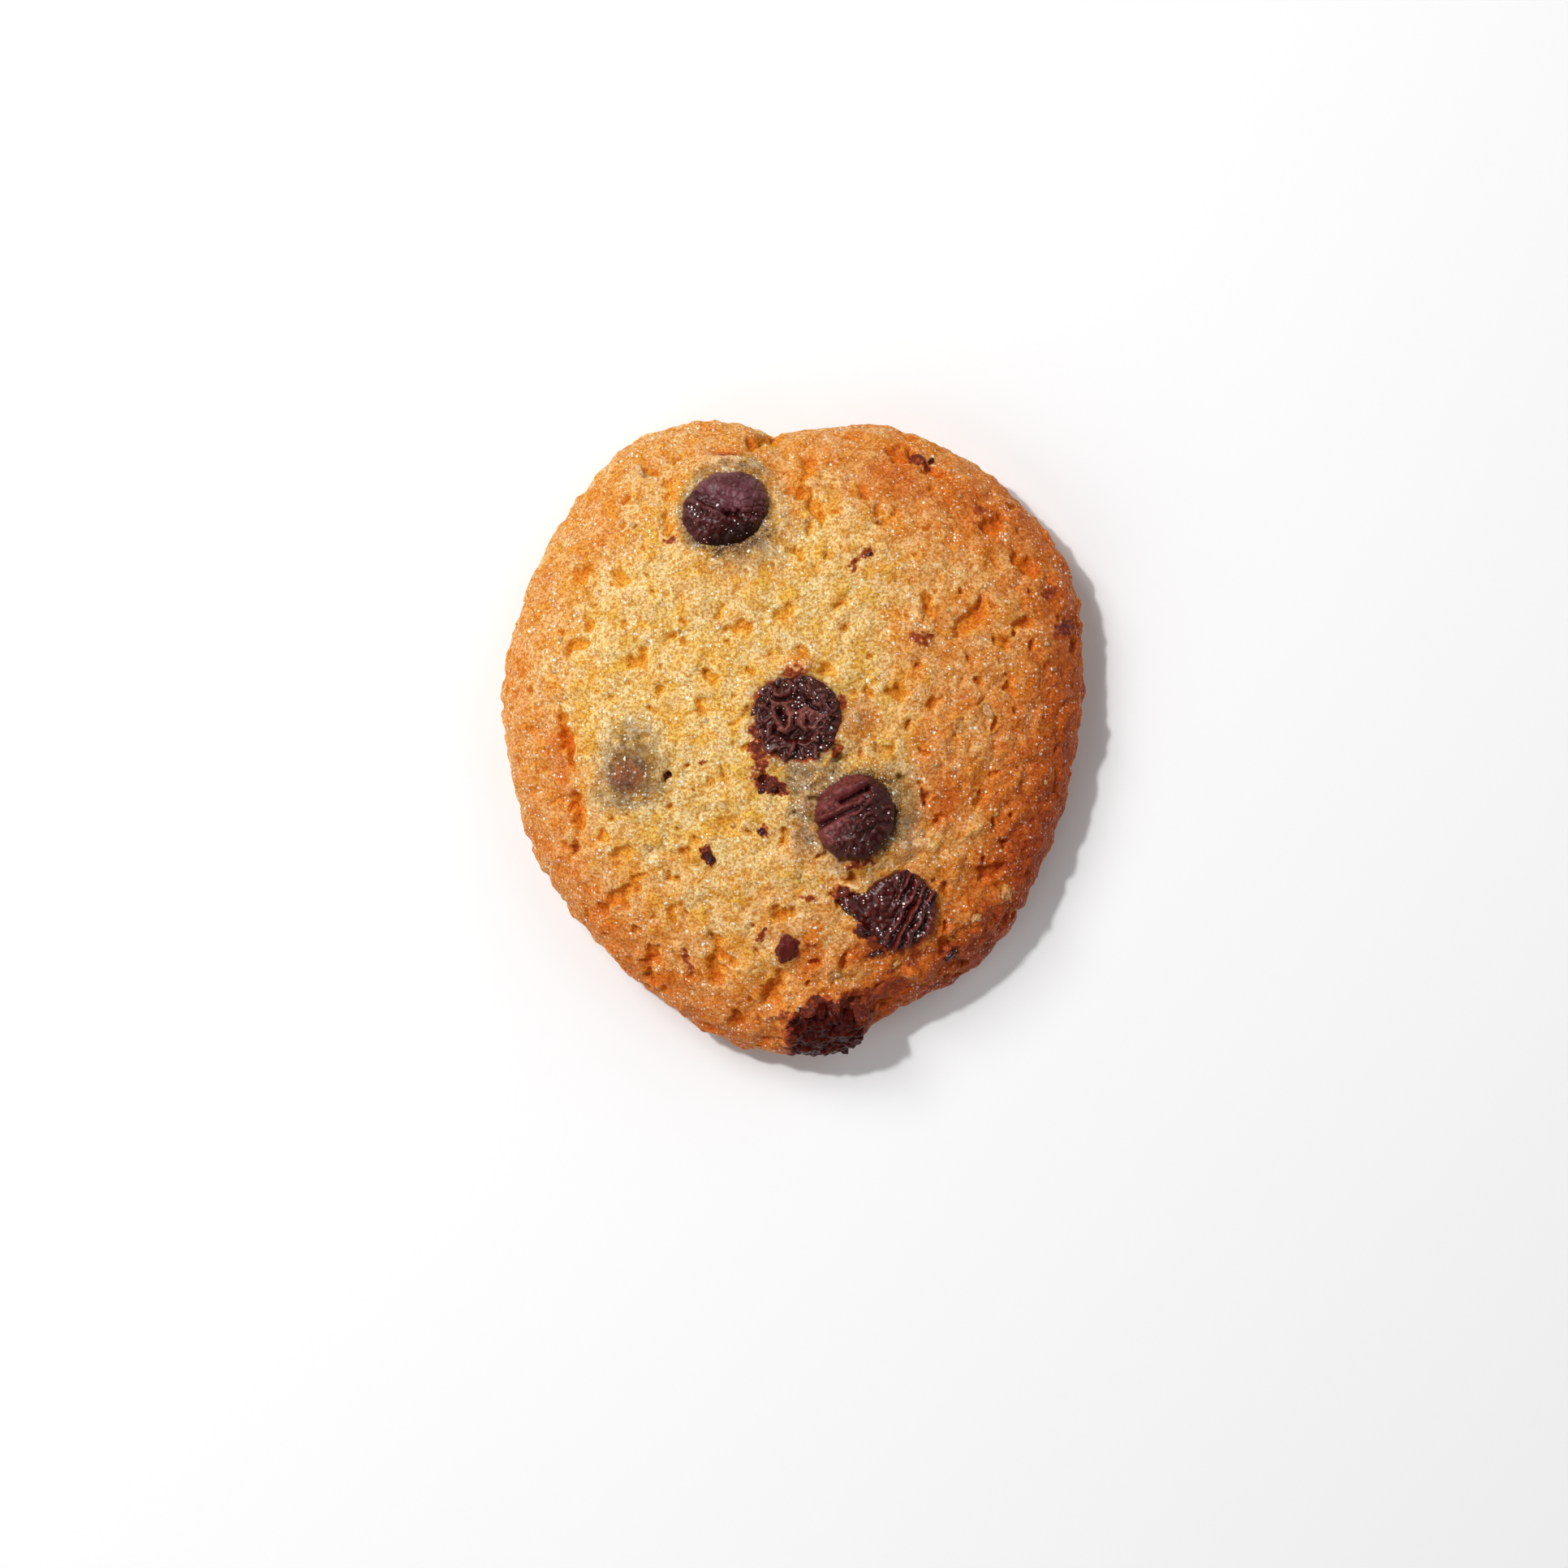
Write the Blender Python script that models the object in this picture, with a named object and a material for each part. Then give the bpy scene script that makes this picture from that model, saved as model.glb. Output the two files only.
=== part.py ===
# A soft chocolate chip cookie: one piece of pale, pitted dough with a browned rim, and five
# chocolate chips sunk in its top and its side. Metres, +Z up. The origin is on the table under
# the middle of the cookie. Bearings are in degrees, anticlockwise from +X, seen from above.

import math
from bisect import bisect_left

import bmesh
import bpy
from mathutils import Vector, noise

MM = 0.001

# The dough as a smooth form. It is 62 mm by 68 mm and 13.5 mm high before its relief.
ROUND_RADIUS = 30.0 * MM
RIM_HEIGHT = 3.4 * MM  # of the widest line above the table
DOME_RISE = 10.1 * MM  # of the middle above the widest line
DOME_FULLNESS = 2.35  # 2 is an ellipse, more is flatter on top and steeper at the side
FOOT_SHARE = 0.93  # of the radius that lies flat on the table
FOOT_WEIGHT = 0.2  # the flat foot needs fewer points than the crust

# How far the dough spread beyond the round: bearing, half width, height, exponent.
SWELLS = (
    (50, 35, 4.7 * MM, 4),  # upper right shoulder
    (112, 22, 4.8 * MM, 2),  # upper left lobe
    (144, 28, 2.0 * MM, 2),  # upper left flank
    (93, 4, -0.9 * MM, 2),  # notch between the two lobes
    (265, 22, 3.4 * MM, 2),  # nose at the bottom
    (278, 14, 1.0 * MM, 2),  # its right side
    (313, 17, 1.4 * MM, 2),  # lower right shoulder
    (6, 9, 0.8 * MM, 2),  # right flank
)

# The relief of the crust.
HILL_SIZE, HILL_HEIGHT = 13.0 * MM, 0.55 * MM
CLUMP_SIZE, CLUMP_HEIGHT = 4.2 * MM, 0.55 * MM
GRAIN_SIZE, GRAIN_HEIGHT = 1.9 * MM, 0.22 * MM
FADE_HEIGHT = 2.2 * MM  # the relief dies away below this height, so that the foot is flat
COLLAR_SHARE, COLLAR_WIDTH = 0.25, 1.6 * MM  # dough that rose round a chip, by its crown
HIDDEN_CHIP = (-16.6 * MM, -3.2 * MM)  # a chip under the crust shows as a bump
HIDDEN_RADIUS, HIDDEN_HEIGHT = 5.0 * MM, 1.5 * MM

# The widest pits and cracks: x, y, half length, half width, depth in mm, and bearing.
PITS = (
    (-23.4, -0.6, 3.6, 1.0, 1.5, 100),  # crack along the left rim, upper half
    (-22.5, -8.4, 2.6, 0.8, 1.3, 95),  # and lower half
    (-3.0, 31.2, 2.4, 1.0, 1.5, 20),  # crack in the notch
    (2.3, 24.2, 3.0, 1.0, 1.3, 112),
    (1.9, 28.4, 1.8, 0.9, 1.1, 70),
    (12.0, 29.6, 2.2, 1.1, 1.1, 345),
    (21.2, 22.2, 2.0, 1.2, 1.1, 25),
    (24.6, 17.8, 2.6, 1.5, 1.3, 325),
    (18.8, 12.0, 3.0, 1.7, 1.5, 40),
    (24.3, 11.6, 1.7, 1.2, 1.1, 40),
    (21.3, -14.4, 2.6, 1.1, 1.3, 15),
    (-7.8, -25.0, 2.0, 1.6, 1.4, 110),
    (-1.7, -26.8, 2.2, 1.2, 1.4, 60),
    (-5.7, -30.2, 1.4, 1.1, 1.2, 30),
    (-14.6, -24.2, 2.2, 1.3, 1.2, 90),
    (-17.8, -16.8, 2.0, 1.0, 1.2, 35),
    (-22.2, 17.0, 2.0, 1.1, 1.2, 30),
    (-22.4, 9.3, 2.0, 1.0, 1.1, 15),
    (-8.7, 6.2, 1.3, 1.2, 1.3, 70),
    (-0.6, 12.8, 2.2, 0.9, 1.0, 20),
    (-12.8, 22.4, 2.0, 0.9, 1.1, 105),
    (11.3, 4.4, 1.3, 1.1, 1.3, 0),
    (6.4, -15.2, 1.1, 1.0, 1.4, 0),
)
# A shard of chocolate, too small for a piece of its own, is a lump on the dough.
SHARD_PLACE, SHARD_RADIUS, SHARD_HEIGHT = (-0.4 * MM, -22.6 * MM), 1.3 * MM, 0.7 * MM

# The chips. x and y are their middles, lift is how far the widest line of a chip stands above
# the smooth dough, crown is what is over that line and root what is sunk under it.
CHIPS = {
    "chip_upper": dict(x=-6.8, y=23.5, half=(4.75, 3.95), bearing=28, lift=-0.3, crown=2.9,
                       root=3.2, lean=10, lean_to=70, finish="pebbled"),
    "chip_middle": dict(x=0.6, y=1.8, half=(4.75, 4.55), bearing=0, lift=-0.3, crown=1.9,
                        root=3.4, lean=3, lean_to=200, finish="hollowed"),
    "chip_right": dict(x=6.7, y=-8.6, half=(4.6, 4.25), bearing=80, lift=0.0, crown=2.5,
                       root=3.4, lean=8, lean_to=150, finish="creased"),
    "chip_melted": dict(x=11.4, y=-18.4, half=(4.1, 3.75), bearing=60, lift=0.25, crown=0.9,
                        root=3.0, lean=14, lean_to=300, finish="ridged"),
    "chip_rim": dict(x=3.4, y=-31.1, half=(4.4, 3.9), bearing=0, lift=-0.4, crown=1.3,
                     root=2.6, lean=50, lean_to=270, finish="pebbled"),
}
CHIP_FULLNESS = 2.5
TAIL_BEARING, TAIL_SPREAD, TAIL_LENGTH = 172, 17, 2.4 * MM  # where chip_melted ran out
POCKET_GAP = 0.3 * MM  # clear space between a chip and its pocket in the dough

DOUGH_TRIANGLES = 8200
CHIP_TRIANGLES = 480


def clear_scene():
    for obj in list(bpy.data.objects):
        bpy.data.objects.remove(obj)


def smooth_step(low, high, value):
    share = min(1.0, max(0.0, (value - low) / (high - low)))
    return share * share * (3 - 2 * share)


def swollen(bearing, swells):
    """What the swells add to a radius at a bearing."""
    total = 0.0
    for centre, spread, height, power in swells:
        away = abs((bearing - centre + 180) % 360 - 180)
        total += height * math.exp(-((away / spread) ** power))
    return total


def dough_radius(bearing):
    return ROUND_RADIUS + swollen(bearing, SWELLS)


def crust_height(x, y):
    """Height of the smooth dome over a place."""
    share = min(1.0, math.hypot(x, y) / dough_radius(math.degrees(math.atan2(y, x))))
    return RIM_HEIGHT + DOME_RISE * (1 - share**DOME_FULLNESS) ** (1 / DOME_FULLNESS)


def dough_meridian(steps=48):
    """(share of the radius, height, weight) from the middle of the top to that of the foot."""
    line = []
    for i in range(steps + 1):
        turn = math.pi / 2 * i / steps
        share = math.sin(turn) ** (2 / DOME_FULLNESS)
        rise = abs(math.cos(turn)) ** (2 / DOME_FULLNESS)
        line.append((share, RIM_HEIGHT + DOME_RISE * rise, 1.0))
    for i in range(1, steps + 1):
        turn = math.pi / 2 * i / steps
        share = FOOT_SHARE + (1 - FOOT_SHARE) * math.cos(turn)
        line.append((share, RIM_HEIGHT * (1 - math.sin(turn)), 1.0))
    for i in range(1, steps + 1):
        line.append((FOOT_SHARE * (1 - i / steps), 0.0, FOOT_WEIGHT))
    return line


def chip_meridian(crown, root, steps=32):
    line = []
    for i in range(2 * steps + 1):
        turn = math.pi / 2 * i / steps
        share = abs(math.sin(turn)) ** (2 / CHIP_FULLNESS)
        rise = abs(math.cos(turn)) ** (2 / CHIP_FULLNESS)
        line.append((share, crown * rise if i < steps else -root * rise, 1.0))
    return line


def turned_ball(meridian, mean_radius, radius_at, subdivisions):
    """A bmesh ball with its points spread evenly over a meridian turned about +Z."""
    ball = bmesh.new()
    bmesh.ops.create_icosphere(ball, subdivisions=subdivisions, radius=1.0)
    reached = [0.0]
    for (a, low, _), (b, high, weight) in zip(meridian, meridian[1:]):
        run = math.hypot((b - a) * mean_radius, high - low)
        reached.append(reached[-1] + weight * run * (a + b))
    for vert in ball.verts:
        wanted = reached[-1] * (1 - vert.co.z) / 2
        i = min(max(bisect_left(reached, wanted), 1), len(reached) - 1)
        part = (wanted - reached[i - 1]) / (reached[i] - reached[i - 1])
        share = meridian[i - 1][0] + part * (meridian[i][0] - meridian[i - 1][0])
        height = meridian[i - 1][1] + part * (meridian[i][1] - meridian[i - 1][1])
        bearing = math.atan2(vert.co.y, vert.co.x)
        radius = share * radius_at(math.degrees(bearing))
        vert.co = (radius * math.cos(bearing), radius * math.sin(bearing), height)
    ball.normal_update()
    return ball


def pit_depth(x, y):
    """Depth of the deepest pit at a place: flat-bottomed, with steep sides."""
    deepest = 0.0
    for px, py, half_length, half_width, depth, bearing in PITS:
        dx, dy = x / MM - px, y / MM - py
        if abs(dx) + abs(dy) > 2.4 * half_length:
            continue
        turn = math.radians(bearing)
        along = (dx * math.cos(turn) + dy * math.sin(turn)) / half_length
        across = (dy * math.cos(turn) - dx * math.sin(turn)) / half_width
        away = math.hypot(along, across)
        deepest = max(deepest, depth * MM * (1 - smooth_step(0.35, 1.15, away)))
    return deepest


def collar(x, y):
    """The dough stands a little higher round each chip."""
    highest = 0.0
    for chip in CHIPS.values():
        reach = MM * sum(chip["half"]) / 2
        beyond = math.hypot(x - chip["x"] * MM, y - chip["y"] * MM) - reach
        rise = COLLAR_SHARE * chip["crown"] * MM
        highest = max(highest, rise * math.exp(-((beyond / COLLAR_WIDTH) ** 2)))
    return highest


def crust_relief(point):
    """How far the crust stands out from the smooth dough, in metres."""
    x, y, z = point
    hills = HILL_HEIGHT * noise.noise(point / HILL_SIZE)
    near, next_near = noise.voronoi(point / CLUMP_SIZE)[0][:2]
    clumps = CLUMP_HEIGHT * (smooth_step(0.0, 0.45, next_near - near) - 0.6)
    grain = GRAIN_HEIGHT * noise.noise(point / GRAIN_SIZE)
    bump = 0.0
    if z > RIM_HEIGHT:
        hidden = math.hypot(x - HIDDEN_CHIP[0], y - HIDDEN_CHIP[1]) / HIDDEN_RADIUS
        shard = math.hypot(x - SHARD_PLACE[0], y - SHARD_PLACE[1]) / SHARD_RADIUS
        bump += HIDDEN_HEIGHT * math.exp(-(hidden**2) * 1.6)
        bump += SHARD_HEIGHT * (1 - smooth_step(0.5, 1.0, shard))
        bump += collar(x, y) - pit_depth(x, y)
    return (hills + clumps + grain + bump) * smooth_step(0.0, FADE_HEIGHT, z)


def pebbled(x, y):
    return 0.30 * noise.noise(Vector((x, y, 0.0)) / 1.3)


def hollowed(x, y):
    """A sunken middle inside a raised ring, with two soft lumps in it."""
    away = math.hypot(x, y)
    hollow = -0.85 * (1 - smooth_step(1.6, 3.4, away))
    lumps = 0.8 * math.exp(-((x - 1.2) ** 2 + (y + 0.2) ** 2) / 1.3)
    lumps += 0.6 * math.exp(-((x + 1.3) ** 2 + (y - 0.1) ** 2) / 0.9)
    return hollow + lumps + 0.25 * noise.noise(Vector((x, y, 3.0)) / 1.1)


def creased(x, y):
    """A fold pressed across the upper part, and faint lines beside it."""
    across = y - 1.3 - 0.35 * x
    fold = -0.7 * math.exp(-((across / 0.45) ** 2)) * (1 - smooth_step(1.8, 3.2, abs(x)))
    return fold + 0.10 * math.sin(across * 5.0) + 0.25 * noise.noise(Vector((x, y, 7.0)) / 1.6)


def ridged(x, y):
    """Melted ridges that run up to the right."""
    turn = math.radians(64)
    across = x * math.sin(turn) - y * math.cos(turn) + 0.3 * math.sin(y)
    return 0.24 * math.sin(across * 2 * math.pi / 1.15) + 0.2 * noise.noise(Vector((x, y, 9.0)) / 1.5)


FINISHES = {"pebbled": pebbled, "hollowed": hollowed, "creased": creased, "ridged": ridged}


def chip_ball(name, chip, grow):
    """One chip as a bmesh round its own middle, grown by a margin when it cuts a pocket."""
    half_long, half_wide = (MM * half for half in chip["half"])
    axis = math.radians(chip["bearing"])
    swells = [(TAIL_BEARING, TAIL_SPREAD, TAIL_LENGTH, 2)] if name == "chip_melted" else []

    def radius_at(bearing):
        turn = math.radians(bearing) - axis
        round_part = 1 / math.hypot(math.cos(turn) / half_long, math.sin(turn) / half_wide)
        return round_part + swollen(bearing, swells)

    meridian = chip_meridian(chip["crown"] * MM, chip["root"] * MM)
    ball = turned_ball(meridian, half_long, radius_at, subdivisions=5)
    finish = FINISHES[chip["finish"]]
    moves = {}
    for vert in ball.verts:
        upward = smooth_step(0.0, 0.6, vert.normal.z)
        moves[vert] = upward * MM * finish(vert.co.x / MM, vert.co.y / MM) + grow
    for vert, move in moves.items():
        vert.co += vert.normal * move
    return ball


def object_from(ball, name, collection, place=(0, 0, 0), turn=(0, 0, 0)):
    mesh = bpy.data.meshes.new(name)
    ball.to_mesh(mesh)
    ball.free()
    mesh.shade_smooth()
    obj = bpy.data.objects.new(name, mesh)
    obj.location = place
    obj.rotation_euler = turn
    collection.objects.link(obj)
    return obj


def thin_out(obj, triangles):
    """Keeps the points where the relief is and drops them where the surface is plain."""
    modifier = obj.modifiers.new("fewer triangles", "DECIMATE")
    modifier.ratio = triangles / len(obj.data.polygons)


def chip_stance(chip):
    """Where a chip sits on the dough, and the turn that makes it lean."""
    x, y = chip["x"] * MM, chip["y"] * MM
    place = Vector((x, y, crust_height(x, y) + chip["lift"] * MM))
    lean, lean_to = math.radians(chip["lean"]), math.radians(chip["lean_to"])
    leaning = Vector((math.sin(lean) * math.cos(lean_to), math.sin(lean) * math.sin(lean_to), math.cos(lean)))
    return place, Vector((0, 0, 1)).rotation_difference(leaning).to_euler()


def make_chips(parts, cutters):
    for name, chip in CHIPS.items():
        place, turn = chip_stance(chip)
        made = object_from(chip_ball(name, chip, 0.0), name, parts, place, turn)
        thin_out(made, CHIP_TRIANGLES)
        made.data.materials.append(finish_of("chocolate"))
        cutter = object_from(chip_ball(name, chip, POCKET_GAP), name + "_pocket", cutters, place, turn)
        thin_out(cutter, CHIP_TRIANGLES)
        cutter.hide_render = True
        cutter.display_type = "WIRE"


def make_dough(parts, cutters):
    ball = turned_ball(dough_meridian(), ROUND_RADIUS, dough_radius, subdivisions=7)
    moves = {vert: crust_relief(vert.co) for vert in ball.verts}
    for vert, move in moves.items():
        vert.co += vert.normal * move
    dough = object_from(ball, "dough", parts)
    thin_out(dough, DOUGH_TRIANGLES)
    pockets = dough.modifiers.new("chip pockets", "BOOLEAN")
    pockets.operation = "DIFFERENCE"
    pockets.operand_type = "COLLECTION"
    pockets.collection = cutters
    dough.data.materials.append(finish_of("baked_dough"))


def finish_of(name):
    """The material of that name, made the first time it is asked for."""
    if name in bpy.data.materials:
        return bpy.data.materials[name]
    colour, roughness = {
        "baked_dough": ((0.75, 0.42, 0.13, 1), 0.6),
        "chocolate": ((0.045, 0.014, 0.012, 1), 0.35),
    }[name]
    material = bpy.data.materials.new(name)
    material.use_nodes = True
    shader = material.node_tree.nodes["Principled BSDF"]
    shader.inputs["Base Color"].default_value = colour
    shader.inputs["Roughness"].default_value = roughness
    shader.inputs["Metallic"].default_value = 0.0
    return material


def main():
    clear_scene()
    parts = bpy.data.collections.new("chocolate_chip_cookie")
    cutters = bpy.data.collections.new("pockets")
    for collection in (parts, cutters):
        bpy.context.scene.collection.children.link(collection)
    make_chips(parts, cutters)
    make_dough(parts, cutters)


main()
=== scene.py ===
import math
import random
from bisect import bisect_left

import bmesh
import bpy
from mathutils import Matrix, Vector, noise
from mathutils.bvhtree import BVHTree


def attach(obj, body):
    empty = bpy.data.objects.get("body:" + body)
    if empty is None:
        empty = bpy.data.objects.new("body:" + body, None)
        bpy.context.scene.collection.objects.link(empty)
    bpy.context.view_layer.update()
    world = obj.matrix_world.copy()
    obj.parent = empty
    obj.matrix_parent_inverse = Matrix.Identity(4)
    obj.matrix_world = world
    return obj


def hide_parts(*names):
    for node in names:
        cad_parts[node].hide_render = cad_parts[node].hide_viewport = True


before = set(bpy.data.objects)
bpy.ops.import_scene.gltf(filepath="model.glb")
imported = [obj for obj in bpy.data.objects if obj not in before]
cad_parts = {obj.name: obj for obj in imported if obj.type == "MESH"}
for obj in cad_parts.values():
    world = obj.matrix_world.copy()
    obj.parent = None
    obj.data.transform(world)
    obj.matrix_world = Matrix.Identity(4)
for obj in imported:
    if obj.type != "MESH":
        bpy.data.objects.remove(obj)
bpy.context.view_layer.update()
noise.seed_set(7)  # the noise vectors are then the same in each run

mm = 0.001  # the frame is in metres, and most lengths below are in millimetres


def smoothStep(low, high, value):
    share = min(1.0, max(0.0, (value - low) / (high - low)))
    return share * share * (3 - 2 * share)


def lerp(a, b, share):
    return a + (b - a) * share


def swollen(bearing, swells):
    total = 0.0
    for centre, spread, height, power in swells:
        away = abs((bearing - centre + 180) % 360 - 180)
        total += height * math.exp(-((away / spread) ** power))
    return total


def reach(x, y, spot):
    # how far out of an oval spot a place is: 0 at its middle, 1 on its line
    sx, sy, halfLength, halfWidth, bearing = spot[:5]
    dx, dy = x - sx, y - sy
    if abs(dx) + abs(dy) > 4 * halfLength:
        return 9.0
    turn = math.radians(bearing)
    along = (dx * math.cos(turn) + dy * math.sin(turn)) / halfLength
    across = (dy * math.cos(turn) - dx * math.sin(turn)) / halfWidth
    return math.hypot(along, across)


def evenBall(meridian, meanRadius, radiusAt, frequency):
    # a ball with its points spread evenly over a meridian turned about Z
    ball = bmesh.new()
    bmesh.ops.create_icosphere(ball, subdivisions=1, radius=1.0)
    bmesh.ops.subdivide_edges(ball, edges=ball.edges[:], cuts=frequency - 1, use_grid_fill=True)
    bmesh.ops.triangulate(ball, faces=ball.faces[:])
    reached = [0.0]
    for (a, low, _), (b, high, weight) in zip(meridian, meridian[1:]):
        run = math.hypot((b - a) * meanRadius, high - low)
        reached.append(reached[-1] + weight * run * (a + b))
    for vert in ball.verts:
        spot = vert.co.normalized()
        wanted = reached[-1] * (1 - spot.z) / 2
        i = min(max(bisect_left(reached, wanted), 1), len(reached) - 1)
        part = (wanted - reached[i - 1]) / (reached[i] - reached[i - 1])
        share = lerp(meridian[i - 1][0], meridian[i][0], part)
        height = lerp(meridian[i - 1][1], meridian[i][1], part)
        bearing = math.atan2(spot.y, spot.x)
        radius = share * radiusAt(math.degrees(bearing))
        vert.co = (radius * math.cos(bearing), radius * math.sin(bearing), height)
    ball.normal_update()
    return ball


def pieceFrom(ball, name, material):
    mesh = bpy.data.meshes.new(name)
    ball.to_mesh(mesh)
    mesh.shade_smooth()
    mesh.materials.append(material)
    piece = bpy.data.objects.new(name, mesh)
    bpy.context.scene.collection.objects.link(piece)
    return piece


# finishes


def tone(red, green, blue):
    # a colour as a paint program shows it, 0 to 255
    linear = [c / 12.92 if c <= 0.04045 else ((c + 0.055) / 1.055) ** 2.4
              for c in (red / 255, green / 255, blue / 255)]
    return (*linear, 1.0)


def link(tree, source, target):
    tree.links.new(source, target)


def nodeAt(tree, kind, **settings):
    made = tree.nodes.new(kind)
    for key, value in settings.items():
        setattr(made, key, value)
    return made


def noiseNode(tree, vector, size, detail=2.0, roughness=0.5, distortion=0.0):
    made = nodeAt(tree, "ShaderNodeTexNoise")
    made.inputs["Scale"].default_value = 1 / size
    made.inputs["Detail"].default_value = detail
    made.inputs["Roughness"].default_value = roughness
    made.inputs["Distortion"].default_value = distortion
    link(tree, vector, made.inputs["Vector"])
    return made.outputs["Fac"]


def ranged(tree, value, low, high, toLow=0.0, toHigh=1.0):
    made = nodeAt(tree, "ShaderNodeMapRange", interpolation_type="SMOOTHSTEP")
    link(tree, value, made.inputs["Value"])
    for key, number in zip(("From Min", "From Max", "To Min", "To Max"), (low, high, toLow, toHigh)):
        made.inputs[key].default_value = number
    return made.outputs["Result"]


def sumOf(tree, operation, first, second):
    made = nodeAt(tree, "ShaderNodeMath", operation=operation)
    for socket, value in zip(made.inputs, (first, second)):
        if isinstance(value, (int, float)):
            socket.default_value = value
        else:
            link(tree, value, socket)
    return made.outputs[0]


def mixed(tree, share, first, second, blend="MIX"):
    made = nodeAt(tree, "ShaderNodeMix", data_type="RGBA", blend_type=blend)
    for socket, value in ((made.inputs[0], share), (made.inputs[6], first), (made.inputs[7], second)):
        if isinstance(value, (int, float, tuple)):
            socket.default_value = value
        else:
            link(tree, value, socket)
    return made.outputs[2]


def newGroup(name, inputs, outputs):
    group = bpy.data.node_groups.new(name, "ShaderNodeTree")
    for label, kind, value in inputs:
        socket = group.interface.new_socket(label, in_out="INPUT", socket_type=kind)
        socket.default_value = value
    for label, kind in outputs:
        group.interface.new_socket(label, in_out="OUTPUT", socket_type=kind)
    return group, group.nodes.new("NodeGroupInput").outputs, group.nodes.new("NodeGroupOutput").inputs


glintLook = {
    "cells": ((0.32 * mm, 0.62), (0.54 * mm, 0.80)),  # size, and the share of cells left without one
    "soften": 0.16,
    "edge": (0.36, 0.2),  # distances from a cell's middle, as shares of its size
    "crowdSize": 1.5 * mm,
    "coatRoughness": 0.12,
    "coatIor": 1.7,
}


def makeGlintGroup():
    # scattered glints: a mask of small spots, painted as near-white highlights in the base colour and also
    # given a clear coat
    group, given, put = newGroup(
        "paintedAndCoatedGlints", [("Amount", "NodeSocketFloat", 1.0)], [("Mask", "NodeSocketFloat")])
    place = nodeAt(group, "ShaderNodeTexCoord").outputs["Object"]
    glint = 0.0
    for size, share in glintLook["cells"]:
        cells = nodeAt(group, "ShaderNodeTexVoronoi", feature="F1")
        cells.inputs["Scale"].default_value = 1 / size
        link(group, place, cells.inputs["Vector"])
        pick = nodeAt(group, "ShaderNodeSeparateColor")
        link(group, cells.outputs["Color"], pick.inputs["Color"])
        spot = sumOf(group, "MULTIPLY", ranged(group, pick.outputs[0], share, share + glintLook["soften"]),
                     ranged(group, cells.outputs["Distance"], *glintLook["edge"]))
        glint = sumOf(group, "MAXIMUM", glint, spot)
    crowd = ranged(group, noiseNode(group, place, glintLook["crowdSize"], 3.0), 0.38, 0.58, 0.22, 1.0)
    glint = sumOf(group, "MULTIPLY", glint, crowd)
    link(group, sumOf(group, "MULTIPLY", glint, given["Amount"]), put["Mask"])
    return group


grainLook = {
    "patchSize": 2.0 * mm,
    "fineSize": 0.30 * mm,
    "richTint": tone(250, 228, 150),
    "paleTone": tone(250, 236, 208),
    "paintedGrainShade": tone(217, 176, 100),
    "paintedGlintTone": tone(255, 252, 240),
    "roughness": (0.58, 0.40),  # in the hollows of the grain, on its tips
}


def makeGrainGroup(glints):
    # fine baked grain: mottles a colour, paints shade into the grain's hollows, adds glints as painted
    # highlights, and gives a height for the bump
    group, given, put = newGroup(
        "crumbGrain",
        [("Color", "NodeSocketColor", (0.8, 0.5, 0.2, 1)), ("Glints", "NodeSocketFloat", 1.0),
         ("Pale", "NodeSocketFloat", 0.2)],
        [("Color", "NodeSocketColor"), ("Roughness", "NodeSocketFloat"), ("Height", "NodeSocketFloat"),
         ("Gloss", "NodeSocketFloat")])
    place = nodeAt(group, "ShaderNodeTexCoord").outputs["Object"]
    patches = noiseNode(group, place, grainLook["patchSize"], 3.0, 0.6)
    fine = noiseNode(group, place, grainLook["fineSize"], 3.0, 0.65)
    rich = mixed(group, 1.0, given["Color"], grainLook["richTint"], "MULTIPLY")
    pale = mixed(group, given["Pale"], given["Color"], grainLook["paleTone"])
    colour = mixed(group, ranged(group, patches, 0.34, 0.62), rich, pale)
    # painted shade: the grain's hollows, the low parts of the noise that drives the bump, are darkened
    light = mixed(group, ranged(group, fine, 0.38, 0.60), grainLook["paintedGrainShade"], (1, 1, 1, 1))
    colour = mixed(group, 1.0, colour, light, "MULTIPLY")
    sparks = nodeAt(group, "ShaderNodeGroup", node_tree=glints)
    link(group, given["Glints"], sparks.inputs["Amount"])
    glint = sparks.outputs["Mask"]
    # painted highlight: the glints are mixed towards near-white in the base colour
    link(group, mixed(group, glint, colour, grainLook["paintedGlintTone"]), put["Color"])
    link(group, glint, put["Gloss"])
    rough = ranged(group, fine, 0.3, 0.7, *grainLook["roughness"])
    rough = sumOf(group, "SUBTRACT", rough, sumOf(group, "MULTIPLY", glint, 0.3))
    link(group, rough, put["Roughness"])
    link(group, sumOf(group, "ADD", fine, sumOf(group, "MULTIPLY", glint, 0.5)), put["Height"])
    return group


chocolateSkin = {
    "patchSize": 2.0 * mm,
    "fineSize": 0.36 * mm,
    # painted shade colour for the chips' hollows and shaded side
    "deepTone": tone(22, 5, 4),
    "paintedGlintTone": tone(250, 238, 232),
    "roughness": (0.10, 0.24),
    "bloomRoughness": 0.26,
    "bumpStrength": 0.8,
}


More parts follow.
